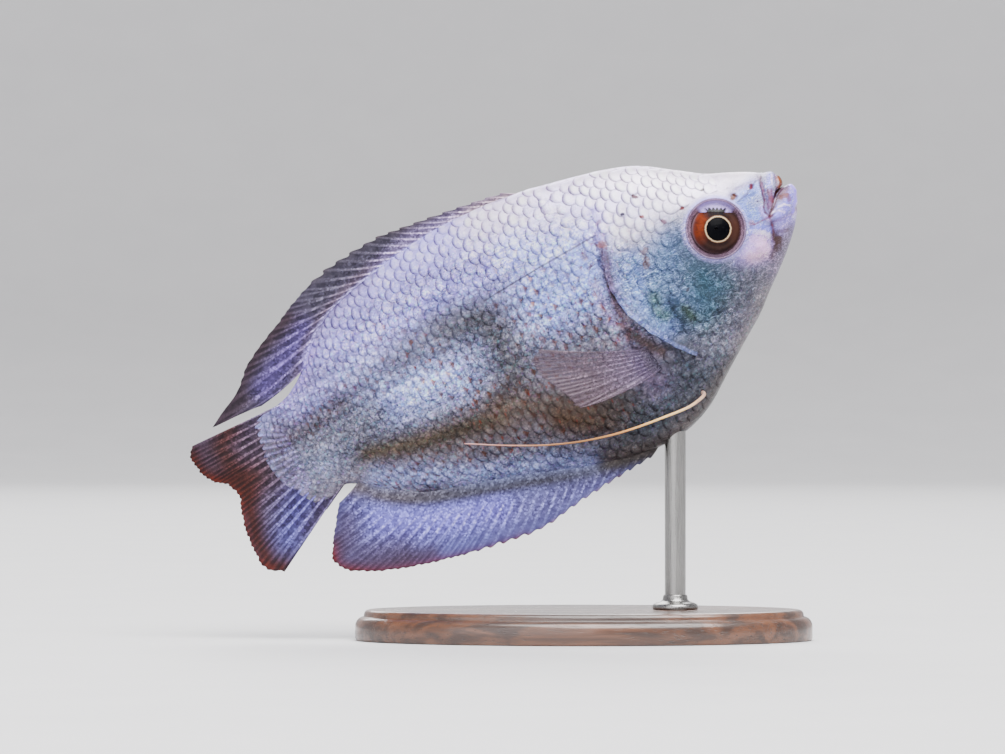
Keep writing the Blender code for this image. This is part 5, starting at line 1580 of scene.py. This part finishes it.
CAUDAL_STROKES = (
    # Painted light and shade: the next two strokes make the lower lobe lighter and the upper part near the
    # root darker, as on a cupped fin lit from above.
    ((148, 156, 208), 0.85, 2.2, ((64.5, -4), (67.5, -6), (69.5, -8.2))),
    ((112, 104, 130), 0.75, 2, ((66.4, 3), (68.5, 2.4), (68, -0.5))),
    ((92, 60, 56), 0.92, 2, ((70, 5.8), (71.6, 4.2), (71.6, 2), (70.2, -0.2))),
    ((96, 50, 28), 0.96, 1.5, ((75, 5.4), (75, 3.8), (74, 1.6), (71.8, 0.2), (71.4, -1.6))),
    ((98, 52, 36), 0.95, 1.25, ((71.6, -1.2), (72.2, -4.2), (72.9, -7), (72.9, -9.6), (71.8, -10.9))),
    ((150, 74, 34), 0.85, 0.45, ((75.4, 4.8), (74.9, 2.6), (73.2, 0.6), (72.4, -1.2), (73.3, -4), (74, -8),
                                 (73, -10.8))),
)


def fin_effect():
    """Fin colour: membrane and rays by distance from a ray, joints across the rays, and grainy pigment."""
    tree, given, out = effect(
        "fin colour",
        [("Place", "Vector", (0, 0, 0)), ("Ground", "Color", (1, 1, 1, 1)), ("Ray", "Vector", (0, 0, 0)),
         ("Membrane Tint", "Vector", (0.4, 0.36, 0.42)), ("Membrane Share", "Float", 0.5),
         ("Ray Light", "Float", 0.3), ("Rays From", "Float", 0.15), ("Rays To", "Float", 0.45),
         ("Depth", "Vector", (1, 1, 1))],
        [("Color", "Color"), ("Height", "Float"), ("On Ray", "Float")])
    part = node(tree, "SeparateXYZ", Vector=given.outputs["Ray"])
    on_ray, aft = part.outputs[0], part.outputs[1]
    grain = noisy(tree, given.outputs["Place"], 3.6, 4.0)
    blotch = noisy(tree, given.outputs["Place"], 0.9, 3.0)
    rays_from, rays_to = given.outputs["Rays From"], given.outputs["Rays To"]
    begun = ranged(tree, aft, times(tree, rays_from, 0.4), rays_from)
    thin = times(tree, ranged(tree, on_ray, 0.8, 0.15), given.outputs["Membrane Share"])
    thin = times(tree, thin, begun)
    thin = times(tree, thin, ranged(tree, blotch, 0.3, 0.65, 0.55, 1.2))
    deep = node(tree, "VectorMath", {"operation": "MULTIPLY"}, _0=given.outputs["Ground"],
                _1=given.outputs["Depth"])
    own = blended(tree, ranged(tree, aft, 0.02, 0.2), given.outputs["Ground"], deep.outputs[0])
    membrane = stained(tree, own, given.outputs["Membrane Tint"])
    colour = blended(tree, thin, own, membrane)
    joints = maths(tree, "SINE", times(tree, part.outputs[2], JOINT_TURN))
    joint = times(tree, ranged(tree, joints, 0.55, 0.95), ranged(tree, on_ray, 0.4, 0.8))
    light = times(tree, ranged(tree, on_ray, 0.3, 0.95), given.outputs["Ray Light"])
    fading = maths(tree, "ADD", rays_to, 0.4)
    light = times(tree, light, ranged(tree, aft, fading, rays_to))
    light = times(tree, light, begun)
    light = times(tree, light, ranged(tree, blotch, 0.36, 0.6, 0.35, 1.1))
    colour = washed(tree, light, colour, (2.9, 2.8, 2.7))
    colour = washed(tree, times(tree, joint, 0.5), colour, (0.45, 0.42, 0.5))
    fine = node(tree, "TexVoronoi", Vector=given.outputs["Place"], Scale=FINE_CELLS)
    cell = node(tree, "SeparateColor", Color=fine.outputs["Color"])
    body_part = ranged(tree, aft, 0.95, 0.6, 0.2, 1.0)
    specks = times(tree, ranged(tree, cell.outputs[0], 0.55, 1.0), body_part)
    colour = washed(tree, times(tree, specks, 0.75), colour, (2.4, 2.5, 2.5))
    pits = times(tree, ranged(tree, cell.outputs[0], 0.4, 0.0), body_part)
    colour = washed(tree, times(tree, pits, 0.7), colour, (0.4, 0.36, 0.42))
    feed(tree, out, Color=colour, Height=maths(tree, "MULTIPLY_ADD", joint, -0.5, grain), On_Ray=on_ray)
    return tree


fin_colour = fin_effect()


def fin_finish(name, membrane, membrane_share, ray_light, depth, rays_from=0.15, rays_to=0.45, clear=None):
    """A fin's finish. clear, if given, is how much light the membrane and the rays stop."""
    made, tree, shader = finish_of(name, Coat_Roughness=0.2, Coat_Weight=0.08, Metallic=0.2,
                                   Specular_IOR_Level=0.15)
    look = use(tree, fin_colour, Place=layer(tree, "side_view"), Ground=layer(tree, "ground"),
               Ray=layer(tree, "ray"), Membrane_Tint=membrane, Membrane_Share=membrane_share,
               Ray_Light=ray_light, Rays_From=rays_from, Rays_To=rays_to, Depth=depth)
    feed(tree, shader, Base_Color=look.outputs["Color"],
         Roughness=ranged(tree, look.outputs["Height"], 0.3, 0.7, 0.34, 0.5))
    raised(tree, shader, look.outputs["Height"], FIN_RELIEF)
    if clear:
        feed(tree, shader, Alpha=ranged(tree, look.outputs["On Ray"], 0.1, 0.8, *clear))
    return made


def fin(name, root, edge, rays, bow, lean, sizes, colours, finish, nodes, side=1.0, seat=0.0):
    """A closed sheet from root line to free edge, thick on the rays and thin between.

    Each ray is a hill across the sheet, which parts in two towards the edge where the fin is soft. The edge
    dips between rays by a cosine, and twice as often where each ray has forked.
    """
    soft_from, spine_notch, soft_notch, root_thick, membrane, ray = sizes
    columns, rows = (rays - 1) * PER_RAY + 1, FIN_ROWS
    share = np.linspace(0, 1, columns)
    row = np.linspace(0, 1, rows) ** 0.9
    start = root(share)
    table = np.asarray(edge, float)
    end = smooth(table[:, 0], table[:, 1:])(share)
    reach = end - start
    length = np.linalg.norm(reach, axis=1)
    ahead = reach / length[:, None]
    start = start - ahead * FIN_SINK
    phase = share * (rays - 1)
    soft = ramp(share, soft_from - 0.04, soft_from + 0.04)
    dip = spine_notch * (1 - soft) * (1 - np.cos(2 * math.pi * phase)) / 2
    dip += soft_notch * soft * (1 - np.cos(4 * math.pi * phase)) / 2
    ragged = 0.08 * np.sin(phase * 5.1 + 1.0) * np.sin(phase * 1.7)
    end = end - ahead * np.minimum(dip - ragged, 0.4 * length)[:, None]
    reach = end - start
    across = np.stack([-reach[:, 1], reach[:, 0]], axis=-1)
    t = row[None, :, None]
    sheet = start[:, None] + reach[:, None] * t + across[:, None] * (4 * bow * t * (1 - t))
    nearest = np.abs(phase - np.round(phase))[:, None]
    fork = 0.27 * soft[:, None] * ramp(row, 0.35, 1.0)[None]
    width = 0.17 - 0.07 * ramp(row, 0.3, 1.0)[None] * soft[:, None]
    on_ray = np.maximum(bump(nearest - fork, width), bump(nearest + fork, width))
    y = lean(share[:, None], row[None]) + seat
    ripple = 0.12 * soft[:, None] * row[None] ** 2 * np.sin(phase[:, None] * 0.9 + 2.0 * row[None])
    thick = membrane * (1 - 0.5 * row[None]) + (root_thick - membrane) * np.exp(-row[None] * 8)
    thick = thick + ray * on_ray * (1 - 0.7 * row[None]) + 0 * y
    middle = np.concatenate([sheet, (y + ripple)[..., None]], axis=-1)
    normal = unit(np.cross(np.gradient(middle, axis=0), np.gradient(middle, axis=1)))
    both = np.concatenate([(middle + normal * thick[..., None] / 2).reshape(-1, 3),
                           (middle - normal * thick[..., None] / 2).reshape(-1, 3)])
    world = place(both, side)
    faces = outward(world, plate_faces(columns, rows)).tolist()
    base, strokes = colours
    beyond = row[None] * length[:, None]
    far = np.stack(np.broadcast_arrays(on_ray, row[None], beyond), axis=-1).reshape(-1, 3)
    ground = painted(both, np.broadcast_to(pigment(*base), both.shape), strokes)
    own = np.tile(ramp(beyond, 0.8, 3.4).ravel(), 2)[:, None]
    ground = body_colour(both) * (1 - own) + ground * own
    layers = {"side_view": both, "ground": ground, "ray": np.tile(far, (2, 1))}
    return piece(name, world, faces, finish, nodes, layers)


def dorsal_root(share):
    """Where the dorsal fin leaves the back."""
    s = DORSAL_ROOT[0] + (DORSAL_ROOT[1] - DORSAL_ROOT[0]) * share
    return np.stack([s, back(s)], axis=-1)


def anal_root(share):
    """Where the anal fin leaves the belly."""
    s = ANAL_ROOT[0] + (ANAL_ROOT[1] - ANAL_ROOT[0]) * share
    return np.stack([s, belly(s)], axis=-1)


fin("fin_dorsal", dorsal_root, DORSAL_EDGE, DORSAL_RAYS, -0.03,
    lambda share, row: -0.5 * row**2 * ramp(share, 0.55, 0.9),
    (0.62, 0.55, 0.16, 0.8, 0.12, 0.2), ((132, 130, 164), DORSAL_STROKES),
    fin_finish("spiny fin", (0.3, 0.28, 0.34), 0.85, 0.5, (0.52, 0.45, 0.34), 0.1), ["dorsal_fin"])
fin("fin_anal", anal_root, ANAL_EDGE, ANAL_RAYS, -0.03,
    lambda share, row: -ANAL_FLARE * row**1.5 * ramp(share, 0.25, 0.7),
    (0.5, 0.4, 0.16, 0.9, 0.12, 0.2), ((150, 154, 198), ANAL_STROKES),
    fin_finish("long fin", (0.44, 0.38, 0.46), 0.7, 0.4, (0.7, 0.65, 0.59), 0.55), ["anal_fin"])
fin("fin_tail", lambda share: caudal_line(share)[0], CAUDAL_EDGE, CAUDAL_RAYS, 0.0,
    lambda share, row: -CAUDAL_CUP * (2 * share - 1) ** 2 * np.clip((row - 0.25) / 0.75, 0, 1) ** 1.3,
    (0.0, 0.0, 0.16, 0.5, 0.12, 0.2), ((136, 136, 172), CAUDAL_STROKES),
    fin_finish("tail fin", (0.26, 0.2, 0.28), 0.95, 0.65, (0.58, 0.45, 0.35), 0.03), ["caudal_fin"])

# Pectoral fins: a clear fan behind each gill flap, on a short fleshy stalk, trailing aft off the flank.
# Its membrane lets the flank show through, and its rays are milky lilac and strongest at the root.
PECTORAL_ROOT = ((24.5, -7.95), (24.3, -11.15))
PECTORAL_RAYS = 10
PECTORAL_EDGE = (
    (0, 34.4, -2.65), (0.12, 35.9, -3.25), (0.3, 35.9, -4.7), (0.5, 35, -6.9), (0.68, 34.2, -8.7),
    (0.82, 33.6, -10.5), (0.92, 31.5, -11.1), (1, 28.5, -11.35),
)
PECTORAL_SPREAD = 2.6
PECTORAL_STUB = 0.8
PECTORAL_STROKES = (
    ((196, 186, 230), 0.8, 1.5, ((23.4, -8.4), (23.8, -9.6), (23.4, -10.8))),
    ((160, 150, 172), 0.6, 2, ((26.4, -7.6), (27.2, -9.2), (26.2, -10.8))),
)


def pectoral_root(share):
    """Where the pectoral fin leaves the flank: a straight line."""
    start, end = np.array(PECTORAL_ROOT)
    return start + (end - start) * share[:, None]


def pectoral_lean(share, row):
    """Out from the flank at the root, quickly by the stalk and then evenly."""
    line = pectoral_root(np.atleast_1d(share.ravel()))
    seat = flank(line[:, 0], line[:, 1])[:, None]
    return seat + 0.15 + PECTORAL_STUB * (1 - np.exp(-row / 0.05)) + PECTORAL_SPREAD * row


for side, word in SIDES:
    fin(f"fin_pectoral_{word}", pectoral_root, PECTORAL_EDGE, PECTORAL_RAYS, -0.02, pectoral_lean,
        (0.0, 0.0, 0.3, 0.8, 0.07, 0.16), ((132, 120, 132), PECTORAL_STROKES),
        fin_finish(f"clear fin {word}", (0.66, 0.6, 0.64), 0.6, 0.34, (0.84, 0.78, 0.78), 0.06, 0.05,
                   (0.34, 0.72)),
        [f"pectoral_fin_{word}"], side)

# Pelvic threads: one long feeler a side, a single ray drawn out as thin as a bristle, cream to gold.
# Each leaves the breast on a short spine and trails back just clear of the flank.
PELVIC_ROOT = (20.3, -15.7)
PELVIC_GAP = 0.3
PELVIC_SINK = 0.7
PELVIC_PATH = (
    (22.4, -16.35, 0.5), (25.5, -16.05, 0.55), (30, -15.4, 0.8), (34, -14.4, 1.1), (38, -12.9, 1.6),
    (42, -10.9, 1.8), (46.8, -8.1, 2),
)
THREAD_RADIUS = 0.17
THREAD_TIP = 0.07
THREAD_SWELL = 0.12
THREAD_RINGS = 150
THREAD_SIDES = 14
THREAD_TURN = 900.0
THREAD_RELIEF = 0.00001
THREAD_COLOURS = (
    (0, (120, 112, 120)), (0.06, (206, 192, 180)), (0.2, (226, 212, 188)), (0.4, (206, 180, 134)),
    (0.6, (186, 150, 104)), (0.8, (190, 158, 136)), (1, (196, 172, 172)),
)


def thread_finish():
    """Horny thread: colour along its length with fine rings across it."""
    made, tree, shader = finish_of("horny thread", Coat_Weight=0.3, Coat_Roughness=0.2,
                                   Subsurface_Weight=0.1, Subsurface_Scale=0.0005)
    along_it = node(tree, "SeparateXYZ", Vector=layer(tree, "ray"))
    rings = maths(tree, "SINE", times(tree, along_it.outputs[0], THREAD_TURN))
    mottle = noisy(tree, layer(tree, "side_view"), 2.4, 3.0)
    patchy = ranged(tree, mottle, 0.5, 0.75, 0.0, 0.4)
    colour = blended(tree, patchy, layer(tree, "ground"), paint((150, 104, 70)))
    feed(tree, shader, Base_Color=colour, Roughness=ranged(tree, mottle, 0.3, 0.7, 0.36, 0.5))
    raised(tree, shader, rings, THREAD_RELIEF)
    return made


def pelvic_thread(side, word):
    """A tube about a smooth path, tapering along it, with a swollen root sunk in the breast."""
    path = np.array(PELVIC_PATH)
    path[:, 2] += flank(path[:, 0], path[:, 1])
    seat, normal = surface(np.array([PELVIC_ROOT[0]]), np.array([PELVIC_ROOT[1]]))
    seat, normal = seat[0], normal[0]
    curve = along([seat - PELVIC_SINK * normal, seat + PELVIC_GAP * normal, *path])
    share = np.linspace(0, 1, THREAD_RINGS) ** 1.1
    centre = curve(share)
    ahead = unit(np.gradient(centre, axis=0))
    first = unit(np.cross(ahead, [0.0, 1.0, 0.0]))
    second = np.cross(ahead, first)
    radius = THREAD_RADIUS + (THREAD_TIP - THREAD_RADIUS) * share**0.8 + THREAD_SWELL * np.exp(-share / 0.04)
    turn = full_turn(THREAD_SIDES)
    ring = np.cos(turn)[None, :, None] * first[:, None] + np.sin(turn)[None, :, None] * second[:, None]
    points = centre[:, None] + radius[:, None, None] * ring
    world = place(points, side).reshape(-1, 3)
    faces = outward(world, ring_quads(THREAD_RINGS, THREAD_SIDES)).tolist()
    faces += end_caps(THREAD_RINGS, THREAD_SIDES, -1)
    reached = np.repeat(share, THREAD_SIDES)
    colour = shaded(THREAD_COLOURS, reached)
    ray = np.stack([reached] * 3, axis=-1)
    layers = {"side_view": points.reshape(-1, 3), "ground": colour, "ray": ray}
    return piece(f"thread_{word}", world, faces, thread_finish(), [f"pelvic_fin_{word}"], layers)


for side, word in SIDES:
    pelvic_thread(side, word)

# Studio: a pale seamless floor that curves up all round, soft area lights, and the camera side on.
# None of it belongs to the object.
FLOOR_FLAT = 0.95
FLOOR_CURVE = 0.45
FLOOR_WALL = 1.5
FLOOR_STEPS = 24
FLOOR_AROUND = 96
LIGHTS = (
    ("key", (0.16, -0.36, 0.84), 0.8, 30.0, (1.0, 0.985, 0.98)),
    ("fill", (-0.35, -0.88, 0.25), 0.9, 6.0, (0.98, 0.96, 1.0)),
    ("back", (-0.1, 0.7, 0.6), 0.6, 9.0, (1.0, 1.0, 1.0)),
)
VIEW_MIDDLE = (-9.24, 29.9)
VIEW_WIDTH = 114.2
LENS = 200.0
SENSOR = 36.0


def studio_floor():
    """A bowl: a flat disc, a quarter round and a wall, turned about the vertical."""
    bend = np.linspace(0, math.pi / 2, FLOOR_STEPS)
    curve = FLOOR_FLAT + FLOOR_CURVE * np.sin(bend)
    radius = np.concatenate([[0.001, 0.2, 0.5], curve, [FLOOR_FLAT + FLOOR_CURVE]])
    height = np.concatenate([[0.0, 0.0, 0.0], FLOOR_CURVE * (1 - np.cos(bend)), [FLOOR_WALL]])
    turn = full_turn(FLOOR_AROUND)
    points = np.stack([radius[:, None] * np.cos(turn), radius[:, None] * np.sin(turn),
                       np.repeat(height[:, None], FLOOR_AROUND, axis=1)], axis=-1).reshape(-1, 3)
    faces = ring_quads(len(radius), FLOOR_AROUND)[:, ::-1].tolist() + [list(range(FLOOR_AROUND))]
    made, tree, shader = finish_of("pale floor", Roughness=0.7)
    noise = noisy(tree, node(tree, "TexCoord").outputs["Object"], 60.0, 4.0)
    colour = blended(tree, noise, paint((196, 196, 198)), paint((204, 204, 205)))
    feed(tree, shader, Base_Color=colour)
    mesh = bpy.data.meshes.new("studio_floor")
    mesh.from_pydata(points.tolist(), [], faces)
    mesh.shade_smooth()
    mesh.materials.append(made)
    floor = bpy.data.objects.new("studio_floor", mesh)
    bpy.context.collection.objects.link(floor)


def studio_light(name, at, size, power, colour):
    """A square area light aimed at the middle of the fish."""
    lamp = bpy.data.lights.new(name, "AREA")
    lamp.size, lamp.energy, lamp.color = size, power, colour
    made = bpy.data.objects.new(name, lamp)
    bpy.context.collection.objects.link(made)
    aim = np.array([VIEW_MIDDLE[0] * MM, 0.0, VIEW_MIDDLE[1] * MM]) - np.array(at)
    flat = math.hypot(aim[0], aim[1])
    made.location = at
    made.rotation_euler = (math.atan2(flat, -aim[2]), 0.0, math.atan2(-aim[0], aim[1]))


def camera():
    """Level, square to the fish's side, far enough for a flat view of it."""
    lens = bpy.data.cameras.new("camera")
    lens.lens, lens.sensor_width = LENS, SENSOR
    lens.clip_start, lens.clip_end = 0.01, 10.0
    made = bpy.data.objects.new("camera", lens)
    bpy.context.collection.objects.link(made)
    made.location = (VIEW_MIDDLE[0] * MM, -VIEW_WIDTH * MM * LENS / SENSOR, VIEW_MIDDLE[1] * MM)
    made.rotation_euler = (math.pi / 2, 0.0, 0.0)
    bpy.context.scene.camera = made


studio_floor()
for light in LIGHTS:
    studio_light(*light)
camera()
world = bpy.data.worlds.new("soft sky")
world.use_nodes = True
world.node_tree.nodes["Background"].inputs["Color"].default_value = (0.95, 0.93, 1.0, 1.0)
world.node_tree.nodes["Background"].inputs["Strength"].default_value = 0.45
bpy.context.scene.world = world

bpy.context.view_layer.update()
